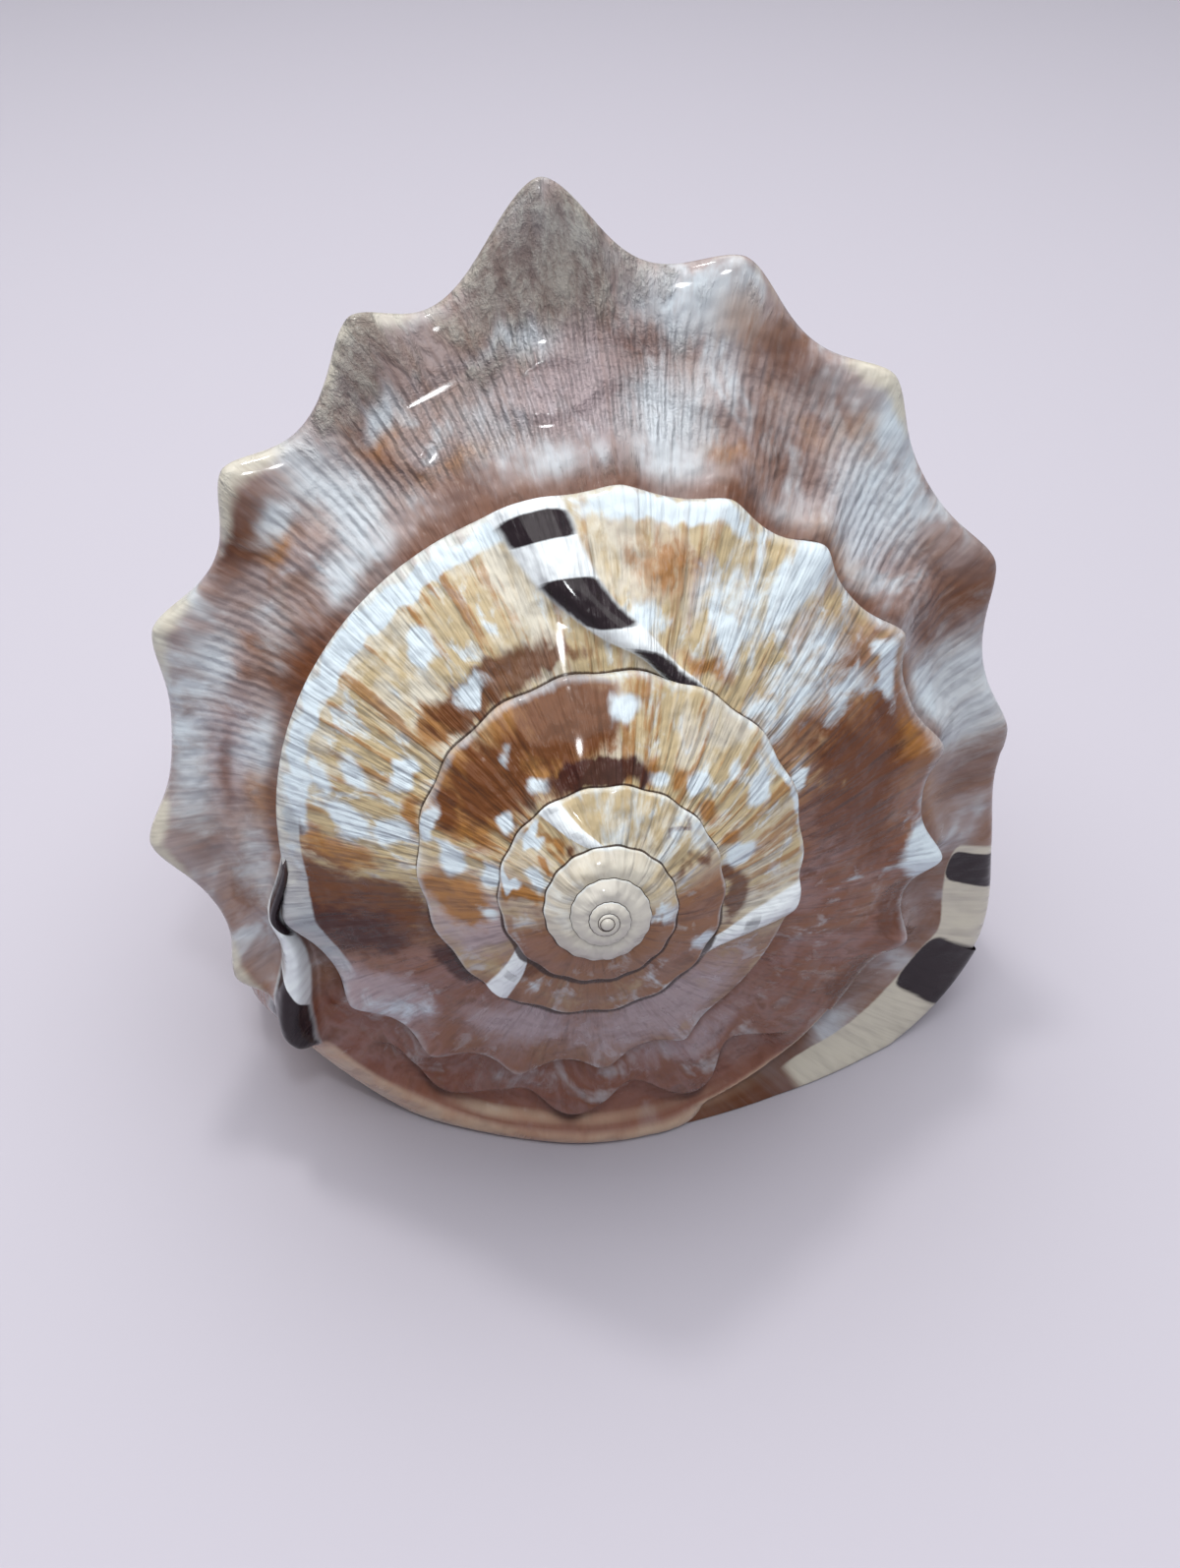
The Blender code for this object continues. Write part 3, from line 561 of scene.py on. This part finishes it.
def soften(grid, weight, rounds):
    """Round a profile's corner, and move it out again so that the knobs keep their reach."""
    reach = grid[..., 0].max(axis=1)
    for _ in range(rounds):
        mean = grid.copy()
        mean[:, 1:-1] = 0.25 * grid[:, :-2] + 0.5 * grid[:, 1:-1] + 0.25 * grid[:, 2:]
        grid = grid + (mean - grid) * weight
    lost = reach - grid[..., 0].max(axis=1)
    grid[..., 0] += KEPT_REACH * lost[:, None] * weight[..., 0]
    return grid


def sheet_normals(points):
    """Direction that the surface faces at each point of a sheet."""
    along = np.gradient(points, axis=0)
    across = np.gradient(points, axis=1)
    normal = np.cross(along, across)
    return normal / np.maximum(np.linalg.norm(normal, axis=2)[..., None], 1e-12)


def sheet(name, points, normals, marks):
    """Mesh from a grid of points, with a value of each mark at each point."""
    ages, rows = points.shape[:2]
    index = np.arange(ages * rows).reshape(ages, rows)
    corners = [index[:-1, :-1], index[1:, :-1], index[1:, 1:], index[:-1, 1:]]
    quads = np.stack(corners, -1).reshape(-1, 4)
    mesh = bpy.data.meshes.new(name)
    mesh.vertices.add(ages * rows)
    mesh.vertices.foreach_set("co", points.reshape(-1))
    mesh.loops.add(quads.size)
    mesh.loops.foreach_set("vertex_index", quads.reshape(-1))
    mesh.polygons.add(len(quads))
    mesh.polygons.foreach_set("loop_start", np.arange(0, quads.size, 4))
    mesh.update(calc_edges=True)
    mesh.polygons.foreach_set("use_smooth", np.ones(len(quads), bool))
    for key, values in marks.items():
        mark = mesh.attributes.new(key, "FLOAT", "POINT")
        mark.data.foreach_set("value", values.reshape(-1).astype(np.float32))
    mesh.normals_split_custom_set_from_vertices(normals.reshape(-1, 3).tolist())
    piece = bpy.data.objects.new(name, mesh)
    bpy.context.scene.collection.objects.link(piece)
    return piece


def ripple(x, seed):
    """Smooth noise along one line, between -1 and 1, with one wave for each unit of x."""
    values = np.random.default_rng(seed).uniform(-1, 1, RIPPLE_VALUES)
    index = np.floor(x).astype(int)
    part = x - index
    part = part * part * (3 - 2 * part)
    return values[index % RIPPLE_VALUES] * (1 - part) + values[(index + 1) % RIPPLE_VALUES] * part


def blots(age, across, patches):
    """Strength of one marking: the strongest of its soft-edged patches at each point."""
    total = np.zeros_like(age)
    arc = arc_length(age)
    fringe = sum(size * ripple(arc / length, seed) for size, length, seed in PATCH_FRINGE)
    sway = sum(size * ripple(across * waves + arc / length, seed)
               for size, waves, length, seed in PATCH_SWAY)
    age = age + sway * np.degrees(1 / plain_radius(age))
    across = across + fringe
    for at, side, half_age, half_side, strength in patches:
        spread = ((age - at) / half_age) ** 2 + ((across - side) / half_side) ** 2
        total = np.maximum(total, strength * np.exp(-PATCH_FALL * spread))
    return total


def rib_marks(age, across):
    """Where the ribs are, and where their dark bars are; one bar on rib 0 is a painted shadow."""
    on_rib = np.zeros_like(age)
    dark = np.zeros_like(age)
    for number, (at, lean, curl, height, half) in enumerate(RIBS):
        here = np.exp(-((age - rib_line(number, across)) / (RIB_PAINT * half)) ** 4)
        on_rib = np.maximum(on_rib, here)
        for rib, low, high, strength in DARK_BARS:
            if rib == number:
                bar = between(across, low - BAR_EDGE, low + BAR_EDGE, high - BAR_EDGE, high + BAR_EDGE)
                dark = np.maximum(dark, strength * here * bar)
    return on_rib, dark


def lip_marks(age, across, drop):
    """The pale band along the lip and its dark bars."""
    band = between(age, *LIP_BAND_AGES) * ease(across, *LIP_BAND_ACROSS) * (1 - ease(drop, *LIP_BAND_DROPS))
    dark = np.zeros_like(age)
    for at, half in LIP_DARK_BARS:
        dark = np.maximum(dark, np.exp(-(np.abs(age - at) / half) ** 4))
    return band, dark * band


def ledge_marks(age, across):
    """Painted shade as a dark line at the foot of the wavy ledge, and the darker shell outside it."""
    length = between(age, *LEDGE_AGES)
    outside = past_ledge(age, across)
    line = np.exp(-((outside - LEDGE_LINE) / LEDGE_LINE_WIDTH) ** 2)
    return length * line, length * ease(outside, *LEDGE_OUTSIDE)


def arc_length(age):
    """Distance along the shoulder from the oldest part, in millimetres."""
    ages = np.arange(OLDEST_AGE - ARC_MARGIN, LIP_END_AGE + ARC_MARGIN, ARC_STEP)
    steps = plain_radius(ages) * np.radians(ARC_STEP)
    return np.interp(age, ages, np.cumsum(steps))


def from_seam(age, across):
    """Distance from the seam along the ramp's radius, in millimetres."""
    return (plain_radius(age) - plain_radius(age - 360)) * across


def crease_shade_mark(age, across):
    """Painted shade in each seam's crease, as a dark line that is wider on the side that faces the table,
    and painted shade in the lip's gutter.
    """
    size = plain_radius(age)
    facing = np.maximum(np.cos(np.radians(age - AGE_FACING_DOWN)), 0)
    shade = facing * ease(size, *SEAM_SHADE_RADII) * (1 - ease(age, *SEAM_SHADE_AGES))
    line = SEAM_LINE + SEAM_LINE_GROWTH * ease(size, *SEAM_LINE_RADII) + SEAM_SHADE * shade
    seam = 1 - ease(from_seam(age, across), SEAM_CORE * line, line)
    seam = seam * (1 - ease(age, *SEAM_END_AGES))
    return np.maximum(seam, GROOVE_SHADE * groove(age, across) / GROOVE_DEPTH)


def rim_white_and_highlight_mark(age, across, last):
    """A painted highlight along the shoulder edge of the older whorls, weaker where the shell faces the
    table, and the white band where the rim is white.
    """
    facing = np.maximum(np.cos(np.radians(age - AGE_FACING_DOWN)), 0)
    rim = ease(across, *RIM_ACROSS) * (1 - last) * (RIM_HIGHLIGHT - RIM_SHADE * facing)
    white = between(age, *WHITE_RIM_AGES) * ease(across, *WHITE_RIM_ACROSS)
    return np.maximum(rim, WHITE_RIM * white)


def thread_mark(age, across):
    """How clear the threads on the newest ramp are."""
    clear = FAINT_THREADS + (1 - FAINT_THREADS) * between(age, *CLEAR_THREAD_AGES)
    return between(age, *THREAD_AGES) * clear * between(across, *THREAD_ACROSS)


def tip_mark(age, across, drop):
    """The pale tips of the newest whorl's knobs."""
    knob = np.clip(knob_height(age) / TIP_KNOB, 0, 1)
    tip = np.interp(age, TIP_AGE, TIP) * knob * ease(across, *TIP_ACROSS)
    return tip * ease(age, *TIP_AGES) * (1 - ease(drop, *TIP_DROPS))


def callus_mark(age, across, drop):
    """The pale callus under the shell."""
    reach = np.maximum(ease(drop, *CALLUS_DROPS), CALLUS_AT_SHOULDER * ease(across, *CALLUS_ACROSS))
    return older(age, *CALLUS_AGES) * ease(age, *NEWEST_AGES) * reach


def growth_marks(age, across, drop):
    """Values that the paint reads at each point."""
    inside = np.clip(across, 0, 1)
    ramp = 1 - ease(drop, *WALL_DROPS)
    last = ease(age, *NEWEST_AGES)
    on_rib, rib_dark = rib_marks(age, inside)
    lip, lip_dark = lip_marks(age, inside, drop)
    step, outer = ledge_marks(age, inside)
    marks = {"along": arc_length(age - GROWTH_LEAN * (1 - inside)),
             "side": from_seam(age, across) * RAMP_LENGTH + drop,
             "ground": np.interp(age, GROUND_AGE, GROUND),
             "lines": np.interp(age, LINES_AGE, LINES) * ramp,
             "last": last,
             "young": 1 - ease(age, *YOUNG_AGES),
             "rib": on_rib * ramp,
             "rib_dark": rib_dark * ramp,
             "lip": lip,
             "lip_dark": lip_dark,
             # Painted shade at the foot of the wavy ledge.
             "step": step * ramp,
             "outer": outer,
             # Painted shade in each seam's crease and in the lip's gutter.
             "seam": crease_shade_mark(age, inside) * ramp,
             # White rims and the painted highlight along the older whorls' shoulders.
             "rim": rim_white_and_highlight_mark(age, across, last),
             # Painted shade beside the newest seam.
             "hollow": last * np.exp(-(from_seam(age, inside) / NEWEST_SEAM_SHADE_WIDTH) ** 2) * ramp,
             "threads": thread_mark(age, across) * ramp,
             "tip": tip_mark(age, inside, drop),
             "under": callus_mark(age, inside, drop)}
    named = {"lilac": LILAC_PATCHES, "white": WHITE_PATCHES, "ochre": OCHRE_PATCHES,
             "brown": BROWN_PATCHES, "dark": DARK_PATCHES, "worn": WORN_PATCHES}
    for key, patches in named.items():
        marks[key] = blots(age, across, patches) * ramp
    return marks


def add_sheet(name, points, normals, marks, ages=slice(None), rows=slice(None)):
    """A sheet from the chosen ages and rows of the points."""
    chosen = {key: values[ages, rows] for key, values in marks.items()}
    return sheet(name, points[ages, rows], normals[ages, rows], chosen)


def resting(points, normals):
    """1 where the surface is level and close to the table."""
    return ease(np.abs(normals[..., 2]), *LEVEL) * (1 - ease(points[..., 2] / MM, *TABLE_GAP))


def top_sheet(name, ages):
    """A whorl's ramp, from under the seam before it to just past its own shoulder."""
    across = np.concatenate([OLD_RAMP_ROWS, OLD_SHOULDER_ROWS])
    age, side = np.meshgrid(ages, across, indexing="ij")
    flat = np.stack(whorl_top(age, side), -1)
    flat = soften(flat, np.exp(-((side - 1) / OLD_ROUNDING) ** 2)[..., None], OLD_ROUNDS)
    points = place(age, flat[..., 0], flat[..., 1])
    normals = sheet_normals(points)
    marks = growth_marks(age, side, np.zeros_like(age))
    marks["under"] = np.maximum(marks["under"], resting(points, normals))
    return add_sheet(name, points, normals, marks)


def old_whorls():
    """The ramps of all the whorls before the newest one."""
    ages = [OLDEST_AGE]
    while ages[-1] < -360:
        step = np.degrees(OLD_STEP / float(plain_radius(ages[-1])))
        ages.append(ages[-1] + min(step, OLD_STEP_MOST))
    return top_sheet("old_whorls", np.array(ages))


def mouth_depth(points):
    """How far each point of the underside is pushed up into the slit of the mouth."""
    line = np.array(MOUTH_LINE, float)
    at = np.linspace(0, len(line) - 1, MOUTH_POINTS)
    index = np.arange(len(line))
    x = (smooth_curve(at, index, line[:, 0]) - MIDDLE_X) * MM
    y = (smooth_curve(at, index, line[:, 1]) - MIDDLE_Y) * MM
    half = smooth_curve(at, index, MOUTH_WIDTH) / 2
    height = smooth_curve(at, index, MOUTH_HEIGHT)
    run = np.concatenate([[0], np.cumsum(np.hypot(np.diff(x), np.diff(y)))]) / MM
    flat = points.reshape(-1, 3)
    gap = np.hypot(flat[:, None, 0] - x[None], flat[:, None, 1] - y[None]) / MM
    nearest = gap.argmin(axis=1)
    tooth = TOOTH_DEPTH * (0.5 - 0.5 * np.cos(2 * np.pi * run / TOOTH_PITCH))
    tooth = tooth * ease(half, *TOOTHED_HALF_WIDTH)
    rim = half[nearest] - tooth[nearest]
    gap = gap.min(axis=1)
    sunk = height[nearest] * (1 - ease(gap, rim + MOUTH_EDGE[0], rim + MOUTH_EDGE[1]))
    low = flat[:, 2] < MOUTH_TOP * MM
    return np.where(low, sunk, 0).reshape(points.shape[:2])


def last_whorl():
    """The newest whorl from its seam over the shoulder to the canal, as an upper and a lower sheet."""
    ages = np.arange(LIP_AGE - 360, LIP_AGE + 0.1, LAST_STEP)
    across = np.concatenate([[UNDER_SEAM], np.linspace(0, 1, RAMP_ROWS)])
    age, side = np.meshgrid(ages, across, indexing="ij")
    down_age, down = np.meshgrid(ages, np.linspace(0, 1, WALL_ROWS + 1)[1:], indexing="ij")
    radius, depth, drop = wall(down_age, down)
    top = np.stack(whorl_top(age, side), -1)
    flat = np.concatenate([top, np.stack([radius, depth], -1)], 1)
    weight = np.exp(-((np.arange(flat.shape[1]) - RAMP_ROWS) / LAST_ROUNDING_ROWS) ** 2)[None, :, None]
    flat = soften(flat, weight, LAST_ROUNDS)
    age = np.concatenate([age, down_age], 1)
    side = np.concatenate([side, np.ones_like(down)], 1)
    drop = np.concatenate([np.zeros_like(top[..., 0]), drop], 1)
    points = place(age, flat[..., 0], flat[..., 1])
    pushed = mouth_depth(points)
    points[..., 2] += pushed * MM
    normals = sheet_normals(points)
    marks = growth_marks(age, side, drop)
    marks["under"] = np.maximum(marks["under"], resting(points, normals))
    marks["mouth"] = ease(pushed, *MOUTH_DARK)
    every_other = slice(None, None, 2)
    ramp_end = RAMP_ROWS + OVERLAP_ROWS
    upper = add_sheet("last_whorl_ramp", points, normals, marks, rows=slice(0, ramp_end))
    lower = add_sheet("last_whorl_wall", points, normals, marks, every_other, slice(ramp_end - 1, None))
    return upper, lower


def lip_corner():
    """The ramp's end, where the lip runs back along the whorl before it."""
    return top_sheet("lip_corner", np.arange(LIP_AGE - LAST_STEP, LIP_END_AGE, LAST_STEP))


def apex_bead():
    """The round start of the shell."""
    bpy.ops.mesh.primitive_uv_sphere_add(segments=48, ring_count=24, radius=APEX_RADIUS * MM)
    bead = bpy.context.active_object
    bead.name = "apex"
    middle = place(np.array(0.0), np.array(0.0), np.array(APEX_DEPTH))
    bead.data.transform(Matrix.Translation(Vector(middle)))
    bead.data.shade_smooth()
    for key, value in (("side", 0.5), ("young", 1)):
        mark = bead.data.attributes.new(key, "FLOAT", "POINT")
        mark.data.foreach_set("value", np.full(len(bead.data.vertices), value, np.float32))
    return bead


class Value:
    """A number in a material's node tree that can be used in ordinary sums."""

    def __init__(self, paint, socket):
        self.paint = paint
        self.socket = socket

    def __add__(self, other):
        return self.paint.math("ADD", self, other)

    def __radd__(self, other):
        return self.paint.math("ADD", other, self)

    def __sub__(self, other):
        return self.paint.math("SUBTRACT", self, other)

    def __rsub__(self, other):
        return self.paint.math("SUBTRACT", other, self)

    def __mul__(self, other):
        return self.paint.math("MULTIPLY", self, other)

    def __rmul__(self, other):
        return self.paint.math("MULTIPLY", other, self)


class Paint:
    """One material and the nodes that make it."""

    def __init__(self, name):
        self.material = bpy.data.materials.new(name)
        self.material.use_nodes = True
        self.tree = self.material.node_tree
        self.shader = self.tree.nodes["Principled BSDF"]

    def set_input(self, node, name, value):
        if isinstance(value, Value):
            self.tree.links.new(value.socket, node.inputs[name])
        else:
            node.inputs[name].default_value = value

    def node(self, kind, settings, inputs, output=0):
        made = self.tree.nodes.new(kind)
        for name, value in settings.items():
            setattr(made, name, value)
        for name, value in inputs.items():
            self.set_input(made, name, value)
        return Value(self, made.outputs[output])

    def math(self, operation, first, second):
        return self.node("ShaderNodeMath", {"operation": operation}, {0: first, 1: second})

    def sine(self, value):
        return self.node("ShaderNodeMath", {"operation": "SINE"}, {0: value})

    def mark(self, name):
        return self.node("ShaderNodeAttribute", {"attribute_name": name}, {}, "Fac")

    def step(self, value, low, high):
        settings = {"interpolation_type": "SMOOTHSTEP"}
        return self.node("ShaderNodeMapRange", settings, {"Value": value, "From Min": low, "From Max": high})

    def vector(self, x, y, z):
        return self.node("ShaderNodeCombineXYZ", {}, {"X": x, "Y": y, "Z": z})

    def noise(self, where, scale, detail, rough, twist=0.0):
        inputs = {"Vector": where, "Scale": scale, "Detail": detail, "Roughness": rough, "Distortion": twist}
        return self.node("ShaderNodeTexNoise", {}, inputs, "Fac")

    def mix(self, amount, first, second):
        settings = {"data_type": "RGBA"}
        return self.node("ShaderNodeMix", settings, {0: amount, 6: first, 7: second}, 2)

    def bump(self, height, distance):
        inputs = {"Height": height, "Distance": distance, "Strength": 1.0}
        return self.node("ShaderNodeBump", {}, inputs, "Normal")


# Colours of the shell.
CREAM = (0.50, 0.40, 0.24, 1)
PALE_CREAM = (0.64, 0.60, 0.50, 1)
APEX_CREAM = (0.60, 0.57, 0.51, 1)
RED_BROWN = (0.19, 0.06, 0.032, 1)
WARM_BROWN = (0.26, 0.125, 0.065, 1)
LAST_BROWN = (0.24, 0.12, 0.07, 1)
MAUVE = (0.33, 0.265, 0.26, 1)
LILAC = (0.35, 0.235, 0.225, 1)
LILAC_GREY = (0.43, 0.35, 0.375, 1)
OUTER_RED = (0.30, 0.125, 0.085, 1)
WHITE = (0.66, 0.76, 0.83, 1)
OCHRE = (0.34, 0.145, 0.03, 1)
BROWN = (0.12, 0.034, 0.008, 1)
MAROON = (0.05, 0.01, 0.007, 1)
BAR = (0.02, 0.012, 0.016, 1)
RIB_WHITE = (0.80, 0.85, 0.88, 1)
LIP_CREAM = (0.60, 0.56, 0.47, 1)
WORN_GREY = (0.21, 0.165, 0.15, 1)
WORN_PALE = (0.44, 0.42, 0.38, 1)
# Painted shade in the creases of the seams and at the foot of the ledge.
CREASE_SHADE = (0.03, 0.01, 0.006, 1)
TIP_CREAM = (0.58, 0.55, 0.46, 1)
CALLUS = (0.68, 0.52, 0.38, 1)
CALLUS_PINK = (0.60, 0.37, 0.25, 1)
MOUTH_BROWN = (0.10, 0.035, 0.018, 1)

# Patches in the order in which they are laid on, with their colour and how well they cover.
PATCH_COLOURS = [("ochre", OCHRE, 0.9), ("brown", BROWN, 0.9), ("white", WHITE, 0.95),
                 ("dark", MAROON, 0.95)]

# How high the bump is, how rough the gloss on top is, and how strongly the shell under it shines.
RELIEF = 1.0 * MM
COAT_ROUGHNESS = 0.09
BODY_SHINE = 0.12


class ShellPaint(Paint):
    """The shell's paint: its layers share the marks and the noise that are kept here."""

    def __init__(self):
        super().__init__("shell")
        self.along = self.mark("along")
        self.side = self.mark("side")
        self.last = self.mark("last")
        self.young = self.mark("young")
        self.ragged = self.grain(0.5, 0.0, 0.3, 4.0, 0.6, 0.5) - 0.5
        self.fine = self.grain(0.3, 2.0, 1.1, 3.0, 0.55, 0.3) - 0.5
        self.soft = self.grain(0.7, 3.0, 0.09, 3.0, 0.5, 0.8) - 0.5
        self.lines = self.grain(0.07, 7.0, 0.62, 2.0, 0.5) - 0.5
        self.pits = self.grain(1.0, 1.0, 0.45, 5.0, 0.7)
        self.edge = self.ragged * 1.3 + self.soft * 0.7 + self.fine * 0.35
        self.worn = self.step(self.mark("worn") + self.edge * 0.8, 0.25, 0.85)

    def grain(self, stretch, layer, *noise):
        """Noise in the shell's own directions, drawn out across the ramp where stretch is small."""
        return self.noise(self.vector(self.along, self.side * stretch, layer), *noise)

    def ground(self):
        """Cream or reddish brown whorls, and the mauve and brown newest one, with blotches."""
        mark = self.mark("ground")
        old = self.mix(self.step(self.soft + self.ragged * 0.8, -0.12, 0.16), CREAM, PALE_CREAM)
        browner = self.step(self.soft + self.ragged * 0.4 + mark * 0.3 - 0.17, -0.12, 0.22)
        newest = self.mix(browner, MAUVE, LAST_BROWN)
        red = self.mix(self.step(self.soft * 1.5 - self.ragged * 0.4, -0.1, 0.2) * 0.5, RED_BROWN, LILAC)
        red = self.mix(self.step(mark + self.soft * 0.5, 0.7, 1.0), WARM_BROWN, red)
        colour = self.mix(self.step(mark + self.soft * 0.7 + self.ragged * 0.7, 0.25, 0.7), old, red)
        colour = self.mix(self.last * (1.0 - self.step(mark, 0.75, 1.0)), colour, newest)
        blotch = self.ragged * (1.4 - self.last * 0.8) - self.soft * (1.0 + self.last * 1.2)
        pale = self.step(blotch, 0.08, 0.34 + self.last * 0.14) * (1.0 - mark * (0.9 - self.last * 0.3))
        colour = self.mix(self.step(0.0 - blotch, 0.12, 0.4) * mark * 0.75, colour, BROWN)
        return self.mix(pale * 0.85, colour, WHITE)

    def markings(self, colour):
        """Ochre lines, then the patches from the lists, then the shade beside the newest seam."""
        thin = self.step(self.lines + self.fine * 0.4, 0.01, 0.18) * self.mark("lines") * 0.8
        colour = self.mix(thin, colour, OCHRE)
        lilac = self.step(self.mark("lilac") + self.edge * 0.6, 0.2, 0.8)
        colour = self.mix(lilac * 0.8, colour, LILAC_GREY)
        softness = 0.2 + self.last * 0.18
        for name, tint, most in PATCH_COLOURS:
            amount = self.step(self.mark(name) + self.edge * 0.7, 0.42 - softness, 0.42 + softness)
            colour = self.mix(amount * most * (1.0 - self.last * 0.3), colour, tint)
        # Painted shade beside the newest seam, laid on in brown.
        return self.mix(self.step(self.mark("hollow") + self.edge * 0.6, 0.25, 0.9) * 0.7, colour, BROWN)

    def wear(self, colour):
        """The plain apex, pale knob tips, worn places, growth lines, then the white rims and the painted
        highlight along the older whorls' shoulders.
        """
        colour = self.mix(self.young, colour, APEX_CREAM)
        colour = self.mix(self.step(self.mark("tip") + self.edge * 0.5, 0.2, 0.75) * 0.85, colour, TIP_CREAM)
        worn_colour = self.mix(self.step(self.pits + self.soft * 0.6, 0.36, 0.66), WORN_GREY, WORN_PALE)
        colour = self.mix(self.worn * 0.8, colour, worn_colour)
        growth = self.step(self.lines + self.fine * 0.3, 0.05, 0.2) * 0.12 * (1.0 - self.young)
        colour = self.mix(growth, colour, BROWN)
        # White rims and the painted highlight along the older whorls' shoulders.
        return self.mix(self.step(self.mark("rim") + self.ragged * 0.8, 0.3, 0.8) * 0.5, colour, WHITE)

    def underside(self, colour):
        """The red shell outside the wavy ledge, the callus, and the inside of the mouth."""
        colour = self.mix(self.mark("outer") * 0.6, colour, OUTER_RED)
        callus = self.mix(self.step(self.soft + self.ragged * 0.3, -0.12, 0.2), CALLUS, CALLUS_PINK)
        colour = self.mix(self.mark("under"), colour, callus)
        return self.mix(self.mark("mouth"), colour, MOUTH_BROWN)

    def ribs_and_lip(self, colour):
        """Pale ribs and lip with dark bars, then the painted shade of every seam's crease and at the foot of
        the ledge, as dark lines.
        """
        colour = self.mix(self.step(self.mark("rib") + self.ragged * 0.2, 0.3, 0.6), colour, RIB_WHITE)
        # Dark bars on the ribs; rib 0's bar by the seam is a painted shadow.
        colour = self.mix(self.step(self.mark("rib_dark") + self.edge * 0.3, 0.3, 0.7), colour, BAR)
        colour = self.mix(self.step(self.mark("lip") + self.ragged * 0.3, 0.35, 0.65), colour, LIP_CREAM)
        colour = self.mix(self.step(self.mark("lip_dark") + self.ragged * 0.4, 0.4, 0.6), colour, BAR)
        # Painted shade in every seam's crease.
        colour = self.mix(self.step(self.mark("seam") + self.fine * 0.4, 0.2, 0.8) * 0.9, colour, CREASE_SHADE)
        # Painted shade at the foot of the wavy ledge.
        return self.mix(self.mark("step") * 0.8, colour, CREASE_SHADE)

    def relief(self):
        """Height of the threads, growth lines, pits and dents."""
        wave = self.sine(self.along * 3.6 + self.soft * 8.0 + self.ragged * 2.0)
        grit = self.grain(1.0, 9.0, 1.5, 2.0, 0.6)
        threads = (wave * 0.26 + grit * 0.5) * self.mark("threads")
        growth = (self.lines + self.fine * 0.2) * (1.0 - self.young * 0.6) * (1.0 - self.last * 0.6)
        dents = self.grain(1.0, 5.0, 0.16, 2.0, 0.5)
        return threads + growth + self.worn * self.pits * 1.6 + dents * 2.2


def shell_material():
    """Glossy shell, duller where it is worn."""
    paint = ShellPaint()
    colour = paint.ground()
    for layer in (paint.markings, paint.wear, paint.underside, paint.ribs_and_lip):
        colour = layer(colour)
    paint.set_input(paint.shader, "Base Color", colour)
    paint.set_input(paint.shader, "Normal", paint.bump(paint.relief(), RELIEF))
    paint.set_input(paint.shader, "Roughness", 0.26 + paint.worn * 0.35 + paint.ragged * 0.15)
    paint.set_input(paint.shader, "Coat Weight", 0.5 - paint.worn * 0.45)
    paint.shader.inputs["Coat Roughness"].default_value = COAT_ROUGHNESS
    paint.shader.inputs["Specular IOR Level"].default_value = BODY_SHINE
    return paint.material


def floor_piece():
    """The plain pale floor."""
    bpy.ops.mesh.primitive_plane_add(size=FLOOR_SIZE, location=(0, 0, 0))
    floor = bpy.context.active_object
    floor.name = "paper"
    material = bpy.data.materials.new("paper")
    material.use_nodes = True
    shader = material.node_tree.nodes["Principled BSDF"]
    shader.inputs["Base Color"].default_value = FLOOR_COLOUR
    shader.inputs["Roughness"].default_value = FLOOR_ROUGHNESS
    floor.data.materials.append(material)


def add_camera():
    """The photograph's camera."""
    data = bpy.data.cameras.new("camera")
    data.sensor_width = SENSOR
    data.lens = FOCAL_PIXELS / PHOTO_HEIGHT * SENSOR
    data.clip_start = CAMERA_NEAR
    camera = bpy.data.objects.new("camera", data)
    bpy.context.scene.collection.objects.link(camera)
    place_at = Vector(CAMERA_FROM_APEX) + Vector((-MIDDLE_X, -MIDDLE_Y, REST_DEPTH))
    camera.location = place_at * MM
    camera.rotation_euler = (np.radians(90 - CAMERA_PITCH), 0, 0)
    bpy.context.scene.camera = camera


def area_light(name, location, target, size, power, colour):
    """A round light that faces its target."""
    data = bpy.data.lights.new(name, "AREA")
    data.shape = "DISK"
    data.size = size
    data.energy = power
    data.color = colour
    light = bpy.data.objects.new(name, data)
    bpy.context.scene.collection.objects.link(light)
    light.location = location
    light.rotation_euler = (Vector(target) - Vector(location)).to_track_quat("-Z", "Y").to_euler()


def light_scene():
    """The sky and the lights, shown without any change of tone."""
    world = bpy.data.worlds.new("sky")
    bpy.context.scene.world = world
    world.use_nodes = True
    world.node_tree.nodes["Background"].inputs["Color"].default_value = SKY_COLOUR
    world.node_tree.nodes["Background"].inputs["Strength"].default_value = SKY_STRENGTH
    for light in LIGHTS:
        area_light(*light)
    bpy.context.scene.view_settings.view_transform = "Standard"


def main():
    shown = [old_whorls(), *last_whorl(), lip_corner(), apex_bead()]
    material = shell_material()
    for piece in shown:
        piece.data.materials.append(material)
        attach(piece, "root")
        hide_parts("helmet_shell")
    floor_piece()
    add_camera()
    light_scene()


main()
